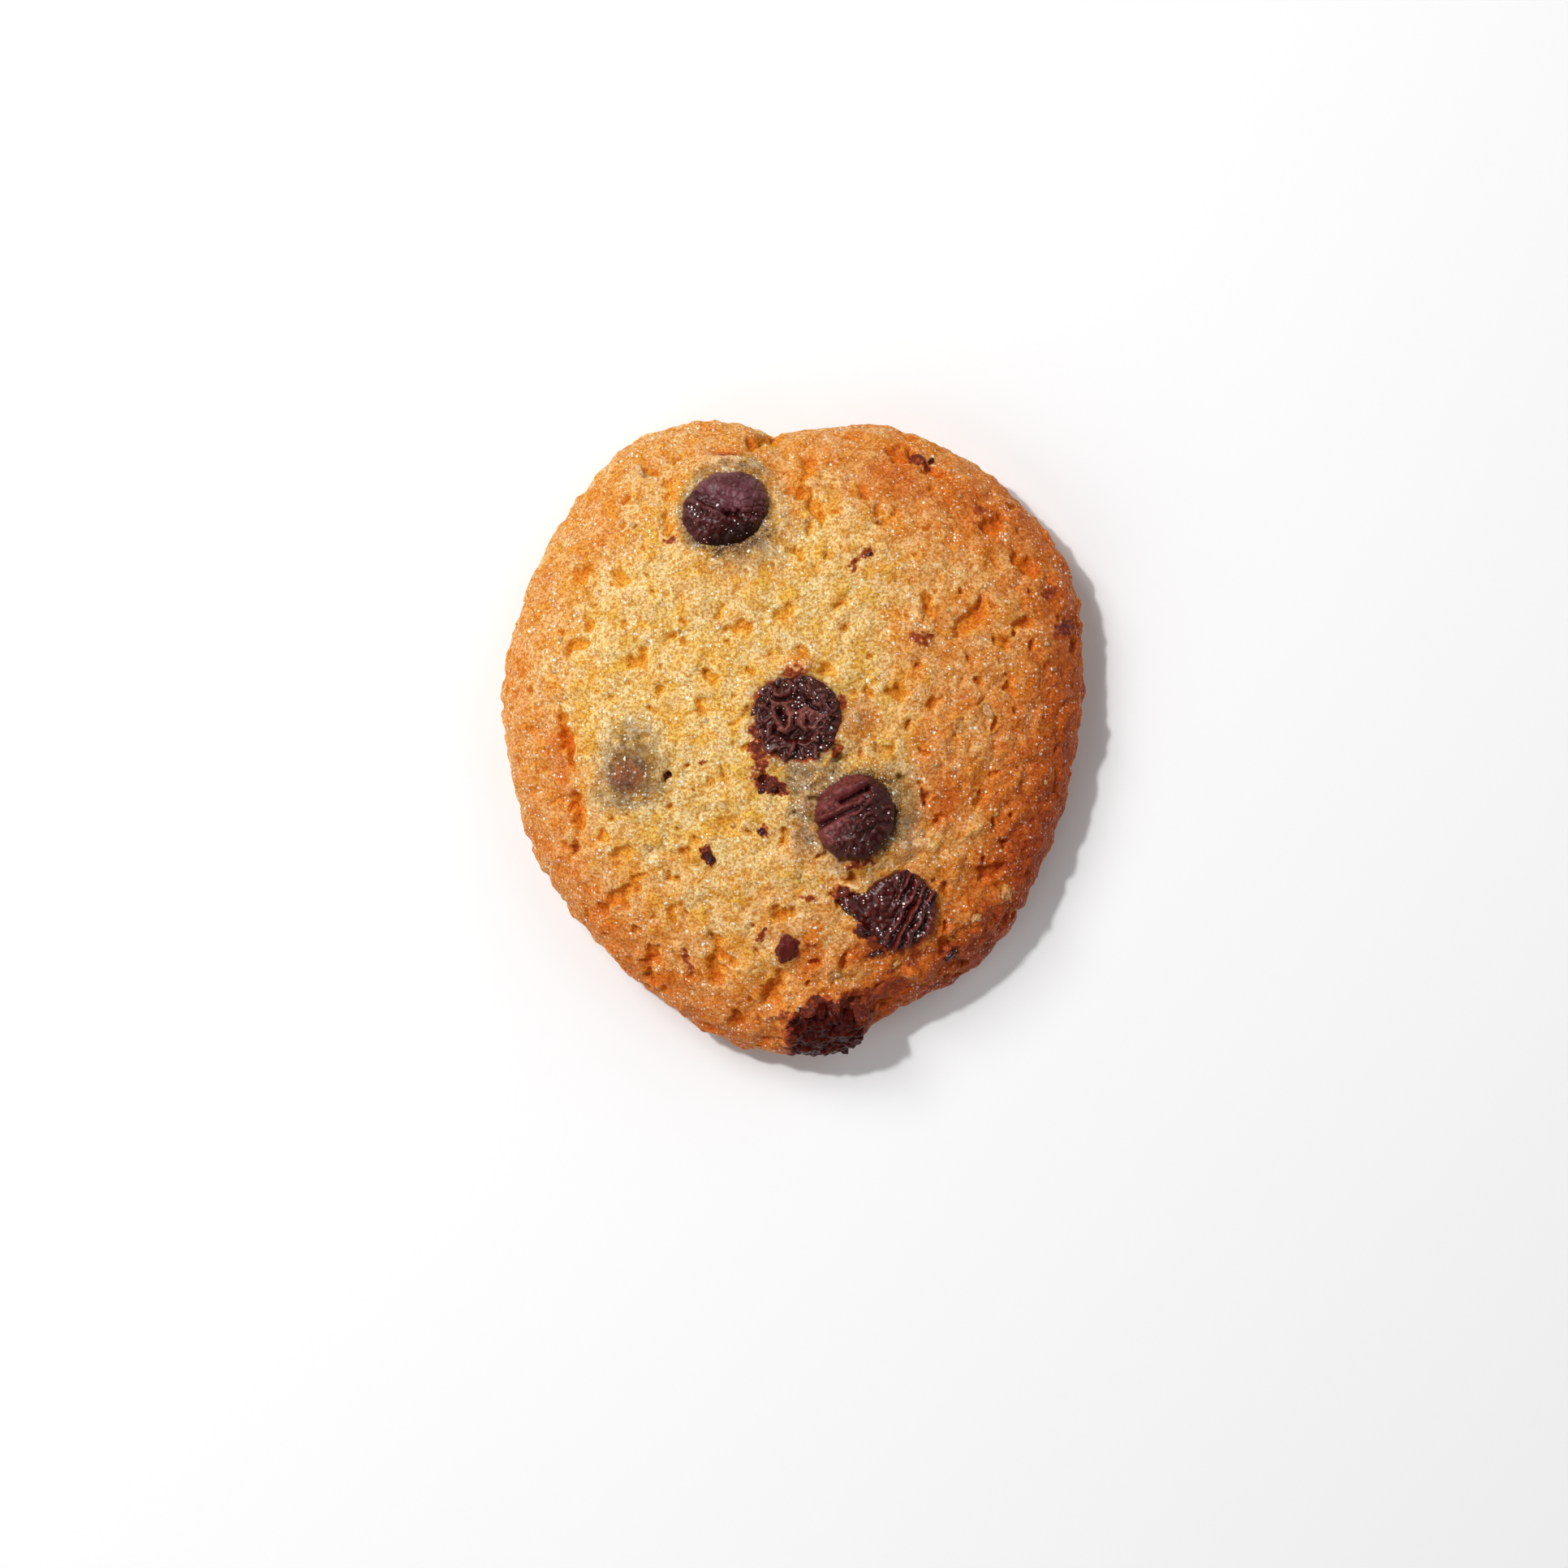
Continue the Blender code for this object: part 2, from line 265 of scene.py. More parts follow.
def makeChocolateGroup(glints):
    # chocolate that melted and set again: purple-brown bloom over a darker body, with painted shade where
    # the bloom share goes below 0, and painted glints
    group, given, put = newGroup(
        "setChocolateSkin",
        [("Dark", "NodeSocketColor", (0.02, 0.005, 0.004, 1)),
         ("Bloom", "NodeSocketColor", (0.1, 0.03, 0.03, 1)),
         ("BloomAndPaintedShade", "NodeSocketFloat", 0.5), ("Glints", "NodeSocketFloat", 0.5)],
        [("Color", "NodeSocketColor"), ("Roughness", "NodeSocketFloat"), ("Height", "NodeSocketFloat"),
         ("Gloss", "NodeSocketFloat")])
    place = nodeAt(group, "ShaderNodeTexCoord").outputs["Object"]
    broad = noiseNode(group, place, chocolateSkin["patchSize"], 3.0)
    fine = noiseNode(group, place, chocolateSkin["fineSize"], 4.0, 0.65)
    bloom = sumOf(group, "MAXIMUM", sumOf(group, "MINIMUM", given["BloomAndPaintedShade"], 1.0), 0.0)
    bloom = sumOf(group, "MULTIPLY", bloom, ranged(group, broad, 0.3, 0.6, 0.5, 1.0))
    bloom = sumOf(group, "MULTIPLY", bloom, ranged(group, fine, 0.3, 0.6, 0.45, 1.0))
    sparks = nodeAt(group, "ShaderNodeGroup", node_tree=glints)
    # painted glints are kept mostly to the darker body of the chip
    paintedGlintShare = ranged(group, given["BloomAndPaintedShade"], 0.2, 0.9, 1.0, 0.45)
    link(group, sumOf(group, "MULTIPLY", given["Glints"], paintedGlintShare), sparks.inputs["Amount"])
    glint = ranged(group, sparks.outputs["Mask"], 0.35, 0.75)
    colour = mixed(group, bloom, given["Dark"], given["Bloom"])
    # painted shade: where the bloom share goes below 0, in hollows and on the side away from the light, the
    # colour darkens to near-black
    paintedShadeShare = ranged(group, given["BloomAndPaintedShade"], -0.9, 0.0, 0.8, 0.0)
    colour = mixed(group, paintedShadeShare, colour, chocolateSkin["deepTone"])
    # painted highlight: the glints are mixed towards near-white in the base colour
    link(group, mixed(group, glint, colour, chocolateSkin["paintedGlintTone"]), put["Color"])
    link(group, glint, put["Gloss"])
    dull = sumOf(group, "ADD", ranged(group, fine, 0.35, 0.65, *chocolateSkin["roughness"]),
                 sumOf(group, "MULTIPLY", bloom, chocolateSkin["bloomRoughness"]))
    link(group, sumOf(group, "SUBTRACT", dull, sumOf(group, "MULTIPLY", glint, 0.1)), put["Roughness"])
    link(group, fine, put["Height"])
    return group


def startMaterial(name):
    material = bpy.data.materials.new(name)
    material.use_nodes = True
    tree = material.node_tree
    return material, tree, tree.nodes["Principled BSDF"]


def bumped(tree, shader, height, strength, distance):
    bump = nodeAt(tree, "ShaderNodeBump")
    bump.inputs["Strength"].default_value = strength
    bump.inputs["Distance"].default_value = distance
    link(tree, height, bump.inputs["Height"])
    link(tree, bump.outputs["Normal"], shader.inputs["Normal"])


def glossed(tree, shader, glint, sheen):
    # the glints are coated, the rest keeps an even sheen
    shader.inputs["Specular IOR Level"].default_value = sheen
    shader.inputs["Coat Roughness"].default_value = glintLook["coatRoughness"]
    shader.inputs["Coat IOR"].default_value = glintLook["coatIor"]
    link(tree, glint, shader.inputs["Coat Weight"])


def softened(shader):
    # light bleeds a little way through baked dough
    shader.inputs["Subsurface Weight"].default_value = crumbLook["subsurface"]
    shader.inputs["Subsurface Radius"].default_value = crumbLook["bleed"]
    shader.inputs["Subsurface Scale"].default_value = 1.0


def masked(tree, name):
    return nodeAt(tree, "ShaderNodeAttribute", attribute_name=name).outputs["Fac"]


crumbLook = {
    "toastTones": [  # share of browning, colour
        (0.0, tone(234, 212, 148)), (0.2, tone(226, 172, 92)), (0.4, tone(219, 141, 44)),
        (0.6, tone(208, 115, 26)), (0.8, tone(182, 86, 22)), (1.0, tone(126, 50, 18))],
    "paintedPitGlow": (1.08, 0.74, 0.12, 1.0),
    "fleckTint": tone(206, 160, 120),
    "paintedNoduleHighlight": tone(250, 230, 180),
    "ashTone": tone(164, 148, 124),
    "paintedAshHighlight": tone(212, 200, 180),
    "duskTone": tone(104, 74, 60),
    "speckTone": tone(62, 30, 14),
    "smearTone": tone(158, 62, 16),
    "deepTone": tone(88, 26, 12),
    "looseTones": (tone(186, 124, 68), tone(216, 170, 116)),
    "looseSize": 5 * mm,
    "driftSize": 2.6 * mm,
    "driftAmount": 0.34,
    "fleckSize": 0.9 * mm,
    "cloudSize": 1.6 * mm,
    "smearGrain": 0.45 * mm,
    "speckSize": 0.42 * mm,
    "bump": (0.8, 0.26 * mm),  # strength, depth
    "looseBump": (0.6, 0.15 * mm),
    "sheen": 0.2,
    "subsurface": 0.75,
    "bleed": (1.5 * mm, 0.95 * mm, 0.3 * mm),
}


def makeCrumbMaterial(grain):
    material, tree, shader = startMaterial("goldenCrumb")
    place = nodeAt(tree, "ShaderNodeTexCoord").outputs["Object"]
    drift = sumOf(tree, "SUBTRACT", noiseNode(tree, place, crumbLook["driftSize"], 5.0, 0.65), 0.5)
    drift = sumOf(tree, "MULTIPLY", drift, crumbLook["driftAmount"])
    toast = sumOf(tree, "ADD", masked(tree, "toast"), drift)
    ramp = nodeAt(tree, "ShaderNodeValToRGB")
    stops = ramp.color_ramp.elements
    for i, (position, colour) in enumerate(crumbLook["toastTones"]):
        stop = stops[i] if i < 2 else stops.new(position)
        stop.position, stop.color = position, colour
    link(tree, toast, ramp.inputs["Fac"])
    unbrowned = ranged(tree, toast, 0.05, 0.65, 1.0, 0.0)
    # painted highlight: raised nodules and lips are painted paler, most on unbrowned crumb
    knobs = sumOf(tree, "MULTIPLY", sumOf(tree, "MULTIPLY", masked(tree, "nodule"), 0.28), unbrowned)
    colour = mixed(tree, knobs, ramp.outputs["Color"], crumbLook["paintedNoduleHighlight"])
    pit = masked(tree, "pit")
    # painted glow: pits and the grooves between clumps are coloured a brighter orange, standing in for
    # light passing through the crumb
    colour = mixed(tree, sumOf(tree, "MULTIPLY", pit, 0.9), colour,
                   mixed(tree, 1.0, colour, crumbLook["paintedPitGlow"], "MULTIPLY"))
    flecks = ranged(tree, noiseNode(tree, place, crumbLook["fleckSize"], 5.0, 0.7), 0.46, 0.62)
    flecks = sumOf(tree, "MULTIPLY", flecks, ranged(tree, toast, 0.25, 0.8))
    colour = mixed(tree, flecks, colour, mixed(tree, 1.0, colour, crumbLook["fleckTint"], "MULTIPLY"))
    clouds = ranged(tree, noiseNode(tree, place, crumbLook["cloudSize"], 4.0, 0.6), 0.3, 0.62, 0.6, 1.0)
    # painted highlight: the grey stained dough is paler on the raised nodules and lips
    ashColour = mixed(tree, masked(tree, "nodule"), crumbLook["ashTone"], crumbLook["paintedAshHighlight"])
    # past 1 the ash darkens, where chocolate lies just under the crumb
    dusky = sumOf(tree, "MULTIPLY", ranged(tree, masked(tree, "ash"), 0.8, 1.8), clouds)
    ashColour = mixed(tree, dusky, ashColour, crumbLook["duskTone"])
    colour = mixed(tree, sumOf(tree, "MULTIPLY", sumOf(tree, "MINIMUM", masked(tree, "ash"), 0.95), clouds),
                   colour, ashColour)
    speckle = noiseNode(tree, place, crumbLook["smearGrain"], 4.0, 0.6)
    near = sumOf(tree, "MULTIPLY", sumOf(tree, "SUBTRACT", masked(tree, "stain"), 0.7), 0.3)
    specks = sumOf(tree, "ADD", noiseNode(tree, place, crumbLook["speckSize"], 3.0, 0.6, 1.2), near)
    specks = ranged(tree, specks, 0.38, 0.58)
    stained = sumOf(tree, "MULTIPLY", ranged(tree, masked(tree, "stain"), 0.0, 0.5, 0.0, 0.8), specks)
    colour = mixed(tree, stained, colour, crumbLook["speckTone"])
    smear = sumOf(tree, "MULTIPLY", masked(tree, "smear"), ranged(tree, speckle, 0.25, 0.6, 0.45, 1.1))
    worn = ranged(tree, smear, 0.22, 0.62)
    skin = nodeAt(tree, "ShaderNodeGroup", node_tree=grain)
    link(tree, colour, skin.inputs["Color"])
    # the amount of painted glints, fewest in pits and on browned crumb
    paintedGlintAmount = sumOf(tree, "MULTIPLY", ranged(tree, pit, 0.1, 0.7, 1.2, 0.1),
                    ranged(tree, toast, 0.2, 0.8, 1.0, 0.5))
    link(tree, paintedGlintAmount, skin.inputs["Glints"])
    level = sumOf(tree, "MULTIPLY", unbrowned, ranged(tree, pit, 0.05, 0.5, 0.22, 0.0))
    level = sumOf(tree, "MULTIPLY", level, ranged(tree, masked(tree, "stain"), 0.0, 0.3, 1.0, 0.0))
    level = sumOf(tree, "MULTIPLY", level, ranged(tree, masked(tree, "ash"), 0.2, 0.8, 1.0, 0.3))
    link(tree, level, skin.inputs["Pale"])
    film = mixed(tree, ranged(tree, smear, 0.5, 0.9), crumbLook["smearTone"], crumbLook["deepTone"])
    colour = mixed(tree, worn, skin.outputs["Color"], film)
    link(tree, colour, shader.inputs["Base Color"])
    link(tree, skin.outputs["Roughness"], shader.inputs["Roughness"])
    softened(shader)
    glossed(tree, shader, skin.outputs["Gloss"], crumbLook["sheen"])
    bumped(tree, shader, skin.outputs["Height"], *crumbLook["bump"])
    return material


def makeLooseCrumbMaterial(grain):
    material, tree, shader = startMaterial("looseCrumb")
    place = nodeAt(tree, "ShaderNodeTexCoord").outputs["Object"]
    skin = nodeAt(tree, "ShaderNodeGroup", node_tree=grain)
    colour = mixed(tree, noiseNode(tree, place, crumbLook["looseSize"]), *crumbLook["looseTones"])
    link(tree, colour, skin.inputs["Color"])
    link(tree, skin.outputs["Color"], shader.inputs["Base Color"])
    link(tree, skin.outputs["Roughness"], shader.inputs["Roughness"])
    softened(shader)
    bumped(tree, shader, skin.outputs["Height"], *crumbLook["looseBump"])
    return material


def makeChocolateMaterial(name, skinGroup, look):
    material, tree, shader = startMaterial(name)
    skin = nodeAt(tree, "ShaderNodeGroup", node_tree=skinGroup)
    skin.inputs["Dark"].default_value = look["dark"]
    skin.inputs["Bloom"].default_value = look["bloom"]
    skin.inputs["Glints"].default_value = look["glints"]
    # the bloom attribute carries painted light and shade as well as bloom
    link(tree, masked(tree, "bloom"), skin.inputs["BloomAndPaintedShade"])
    link(tree, skin.outputs["Color"], shader.inputs["Base Color"])
    link(tree, skin.outputs["Roughness"], shader.inputs["Roughness"])
    glossed(tree, shader, skin.outputs["Gloss"], look["sheen"])
    bumped(tree, shader, skin.outputs["Height"], chocolateSkin["bumpStrength"], look["bump"])
    return material


chocolateLooks = {
    "setChocolate": dict(
        dark=tone(60, 13, 8), bloom=tone(114, 64, 69), glints=0.7, bump=0.1 * mm, sheen=0.25),
    "hollowedChocolate": dict(
        dark=tone(58, 14, 8), bloom=tone(138, 76, 68), glints=1.05, bump=0.1 * mm, sheen=0.32),
    "creasedChocolate": dict(
        dark=tone(54, 12, 8), bloom=tone(122, 56, 54), glints=0.62, bump=0.1 * mm, sheen=0.27),
    "meltedChocolate": dict(
        dark=tone(56, 8, 5), bloom=tone(106, 28, 18), glints=1.2, bump=0.06 * mm, sheen=0.42),
    "shardChocolate": dict(
        dark=tone(94, 30, 22), bloom=tone(140, 70, 60), glints=0.3, bump=0.08 * mm, sheen=0.25),
    "rimChocolate": dict(
        dark=tone(54, 9, 5), bloom=tone(92, 26, 14), glints=0.35, bump=0.04 * mm, sheen=0.08),
}
glintGroup = makeGlintGroup()
grainGroup = makeGrainGroup(glintGroup)
chocolateGroup = makeChocolateGroup(glintGroup)
goldenCrumb = makeCrumbMaterial(grainGroup)
looseCrumb = makeLooseCrumbMaterial(grainGroup)
chocolates = {
    name: makeChocolateMaterial(name, chocolateGroup, look) for name, look in chocolateLooks.items()}
chipFinishes = {
    "upper": "setChocolate", "middle": "hollowedChocolate", "right": "creasedChocolate",
    "melted": "meltedChocolate", "rim": "rimChocolate"}
print("finishes made")

# the crust, with lengths in millimetres

crust = {
    "frequency": 96,
    "roundRadius": 30.0,
    "rimHeight": 3.4,
    "domeRise": 10.1,
    "domeFullness": 2.35,
    "footShare": 0.93,
    "footWeight": 0.05,
    "swells": [  # bearing, half width, height, exponent
        (50, 35, 4.7, 4), (112, 22, 4.75, 2), (144, 28, 2.0, 2), (93, 4, -0.9, 2),
        (265, 22, 3.1, 2), (278, 14, 0.9, 2), (313, 17, 1.4, 2), (6, 9, 0.8, 2)],
    "hills": (13.0, 0.55),  # size, height
    "clumps": (4.2, 0.34),
    "nodules": (1.6, 0.25),
    "swirls": (1.1, 0.12),
    "grains": (0.5, 0.13),
    "pores": (1.3, 0.7),
    "tinyPores": (0.7, 0.25),
    "fadeHeight": 2.2,
    "collarShare": 0.25,
    "collarWidth": 1.6,
    "hiddenChip": (-16.6, -3.2, 5.0, 1.5),  # x, y, radius, height
    "halos": {"upper": 0.9, "middle": 0.4, "right": 0.9},
}

# x, y, half length, half width, bearing, depth
pits = [
    (-23.4, -0.6, 3.6, 0.75, 100, 1.4), (-22.5, -8.4, 2.6, 0.7, 95, 1.3), (-3.0, 31.2, 2.2, 0.8, 20, 1.4),
    (2.5, 23.8, 2.4, 0.7, 112, 1.3), (1.9, 28.4, 1.6, 0.7, 70, 1.1), (12.0, 29.6, 1.8, 0.9, 345, 1.1),
    (15.2, 27.8, 1.4, 0.7, 340, 0.9), (21.2, 22.2, 1.7, 1.0, 25, 1.1), (24.6, 17.8, 2.1, 1.0, 325, 1.1),
    (18.8, 12.0, 2.4, 0.8, 40, 1.2), (24.3, 11.6, 1.4, 0.8, 40, 1.0), (21.3, -14.4, 2.0, 0.7, 15, 1.1),
    (-7.8, -25.0, 1.7, 1.2, 110, 1.3), (-1.7, -26.8, 1.8, 1.0, 60, 1.4), (-5.7, -30.2, 1.1, 0.9, 30, 1.1),
    (-14.6, -23.2, 1.1, 0.9, 60, 1.1), (-14.8, -25.5, 1.0, 0.8, 90, 1.1), (-17.8, -16.8, 1.8, 0.8, 35, 1.1),
    (-19.4, -18.2, 0.8, 0.6, 0, 0.8), (-22.2, 17.0, 1.7, 0.9, 30, 1.1), (-17.8, 16.3, 1.1, 0.8, 60, 0.9),
    (-22.4, 9.3, 1.7, 0.8, 15, 1.1), (-16.3, 7.8, 1.4, 0.6, 10, 1.0), (-8.7, 6.2, 1.0, 0.9, 70, 1.3),
    (-12.8, 25.8, 1.6, 0.5, 80, 0.9), (-12.9, 22.1, 1.7, 0.6, 108, 1.0), (1.0, 25.8, 1.1, 0.7, 20, 0.9),
    (10.3, 22.6, 1.2, 0.7, 20, 0.9), (7.9, 25.4, 1.1, 0.6, 110, 0.9), (14.5, 13.8, 1.6, 0.6, 95, 0.9),
    (19.7, 13.4, 1.5, 0.9, 60, 1.1), (11.3, 4.4, 1.1, 0.9, 0, 1.3), (7.8, 4.4, 0.7, 0.6, 0, 0.9),
    (15.3, 3.5, 0.9, 0.5, 0, 0.8), (4.1, 6.8, 1.2, 0.8, 320, 0.9), (5.3, -2.4, 0.9, 0.6, 30, 1.0),
    (6.4, -15.2, 0.9, 0.8, 0, 1.4), (14.1, -6.6, 1.1, 0.5, 110, 1.0), (15.7, -8.6, 1.0, 0.5, 350, 0.9),
    (9.8, -1.5, 1.0, 0.5, 340, 0.8), (-17.7, -12.5, 1.4, 0.7, 20, 1.0), (-11.3, -12.3, 0.9, 0.6, 70, 0.9),
    (-12.3, -15.1, 0.8, 0.6, 0, 0.9), (-16.1, -20.3, 0.6, 0.5, 0, 0.8), (-5.5, 11.2, 1.5, 0.6, 10, 0.9),
    (-0.6, 12.8, 1.9, 0.6, 20, 1.0), (1.0, 18.7, 0.9, 0.6, 60, 0.9), (-12.6, 10.7, 0.8, 0.6, 30, 0.9),
    (-14.5, 2.7, 0.8, 0.5, 20, 0.8), (-6.2, -9.2, 1.8, 1.0, 30, 0.7), (-1.0, -10.8, 0.9, 0.6, 70, 0.9),
    (-17.3, 24.7, 0.8, 0.6, 30, 0.9), (-23.0, -11.9, 0.8, 0.6, 40, 0.9), (23.2, 5.1, 1.3, 0.5, 110, 0.9),
    (-12.9, -4.3, 0.7, 0.4, 80, 1.0), (13.6, -19.7, 0.7, 0.5, 30, 0.7), (16.2, -22.0, 0.9, 0.6, 30, 0.9),
    (9.9, -28.3, 1.0, 0.7, 40, 0.8), (-4.2, 6.6, 0.7, 0.5, 30, 0.8), (-9.6, 2.2, 0.8, 0.6, 80, 0.8),
    (20.2, -6.8, 1.1, 0.6, 70, 0.8), (-1.0, -18.7, 0.8, 0.6, 40, 0.8), (3.4, -12.6, 0.8, 0.5, 20, 0.8),
]
# raised lips and nodules: x, y, half length, half width, bearing, height
lumps = [
    (-5.4, 28.3, 2.9, 0.8, 345, 1.2), (3.6, -3.0, 1.8, 1.4, 40, 1.2), (0.8, 7.4, 2.2, 1.0, 0, 0.6),
    (1.0, -5.2, 1.8, 1.1, 330, 0.5), (18.7, -18.8, 1.6, 1.4, 60, 0.9), (22.4, -16.8, 1.7, 1.5, 0, 0.8),
    (16.9, -20.3, 1.5, 1.1, 20, 0.7), (19.9, -20.6, 0.8, 0.8, 0, 0.6), (16.0, 0.6, 1.6, 2.2, 20, 0.6),
    (18.0, -3.2, 2.0, 1.2, 0, 0.5), (14.6, -11.4, 1.8, 1.5, 0, 0.6), (11.8, -12.0, 1.3, 1.1, 0, 0.5),
    (-15.9, 27.6, 1.2, 0.7, 110, 0.5), (13.6, 11.7, 2.0, 0.9, 330, 0.6), (6.4, -13.2, 1.6, 0.8, 330, 0.5),
    (4.2, -24.6, 1.9, 1.4, 60, 0.6), (9.8, -24.6, 1.6, 0.8, 20, 0.5), (12.9, -24.8, 1.3, 1.0, 20, 0.6),
    (17.4, -13.0, 1.4, 1.1, 0, 0.5), (-4.6, -24.2, 1.6, 1.3, 0, 0.5), (-0.2, -29.2, 1.5, 1.1, 340, 1.5),
    (2.2, -28.8, 1.6, 1.2, 0, 1.9), (4.5, -28.5, 1.5, 1.2, 15, 1.7), (6.8, -29.6, 1.7, 1.2, 30, 1.7),
    (0.2, -31.4, 1.1, 1.5, 10, 1.2), (5.2, -30.0, 1.0, 0.8, 30, 1.4), (7.9, -21.0, 1.8, 1.2, 140, 1.0),
    (6.7, -16.1, 1.7, 0.9, 20, 0.8), (19.6, -9.8, 1.6, 1.2, 30, 0.5), (24.6, -2.0, 1.4, 2.0, 0, 0.4),
    (-18.6, 9.0, 1.5, 1.1, 0, 0.4)]
# bearing, spread in degrees, amount, share of the radius where it begins
browning = [
    (0, 400, 0.20, 0.62), (60, 26, 0.09, 0.60), (28, 20, 0.13, 0.72), (2, 20, 0.20, 0.72),
    (-28, 20, 0.28, 0.66), (-52, 17, 0.34, 0.66), (-74, 14, 0.30, 0.72), (100, 20, 0.02, 0.8),
    (215, 30, 0.16, 0.6), (250, 22, 0.16, 0.72), (172, 30, 0.10, 0.7), (-20, 40, 0.18, 0.3),
    (18, 40, 0.20, 0.30), (282, 50, 0.17, 0.30)]
# x, y, half length, half width, bearing, amount; negative amounts make a place paler, and those at the
# lower right lie on the raised lumps as painted light on their tops
toastedSpots = [
    (-6.8, 29.6, 2.6, 0.9, 350, 0.30), (0.8, 7.3, 2.2, 1.3, 0, 0.34), (13.5, 9.0, 5.0, 7.5, 0, 0.15),
    (14.0, -2.0, 4.0, 6.0, 0, 0.10), (1.6, -22.7, 2.4, 2.6, 0, 0.3), (2.0, -7.5, 2.0, 4.5, 0, 0.22),
    (-6.2, 21.8, 6.2, 5.4, 28, 0.24), (6.2, -9.0, 6.6, 5.8, 0, 0.2), (7.4, 1.4, 2.2, 3.0, 0, 0.34),
    (1.4, -10.4, 2.2, 3.0, 0, 0.16), (13.4, -10.6, 2.6, 3.2, 0, 0.14), (19.6, 23.4, 4.0, 3.0, 130, 0.10),
    (11.0, 23.5, 7.0, 5.0, 340, 0.12), (16.5, -6.5, 2.4, 4.0, 15, 0.18), (-18.9, 22.0, 3.5, 3.5, 0, 0.12),
    (11.0, 27.0, 6.0, 2.6, 340, 0.16), (-16.9, -4.3, 2.6, 2.2, 350, 0.6), (-24.8, -2.2, 4.0, 1.6, 95, 0.22),
    (-23.6, -4.0, 1.4, 7.0, 8, 0.18), (8.0, -22.6, 4.0, 1.6, 20, 0.30), (18.7, -18.8, 1.8, 1.6, 60, -0.14),
    (22.5, -16.8, 2.0, 1.8, 0, -0.20), (16.6, -21.3, 1.4, 1.2, 20, -0.16),
    (19.6, -9.8, 2.2, 1.8, 30, -0.12), (14.6, -11.4, 2.4, 2.0, 0, -0.14), (6.4, -24.8, 2.0, 1.6, 20, -0.14),
    (12.9, -24.8, 1.6, 1.3, 20, -0.16), (-8.4, 5.6, 5.0, 4.4, 0, -0.10), (24.0, 8.0, 3.0, 6.0, 0, -0.06),
    (22.6, -21.0, 1.4, 1.2, 0, -0.16)]
ashSpots = [
    (-16.6, -2.6, 5.0, 4.2, 80, 1.0), (-16.9, -4.2, 3.8, 3.2, 0, 1.6), (-16.4, -1.0, 2.8, 3.2, 0, 1.2),
    (-17.6, -6.6, 3.8, 2.2, 0, 0.85), (-13.8, -4.8, 1.8, 2.6, 0, 0.7), (-4.6, 21.4, 5.6, 4.6, 28, 0.6),
    (-5.0, 19.7, 3.4, 1.5, 10, 1.35), (-10.2, 20.6, 1.8, 1.2, 130, 1.1), (-5.4, 28.3, 3.6, 1.3, 345, 1.0),
    (3.6, -3.4, 3.4, 2.6, 40, 1.0), (10.8, -7.6, 3.6, 6.0, 10, 0.9), (2.0, -8.6, 2.6, 4.4, 0, 1.1),
    (1.2, -4.8, 3.0, 2.2, 330, 1.2), (7.6, 0.8, 1.6, 3.6, 0, 0.4), (3.0, -4.8, 3.4, 2.6, 0, 0.5),
    (6.4, -13.8, 4.0, 1.6, 340, 0.45), (7.6, -15.0, 2.2, 1.2, 20, 0.5)]
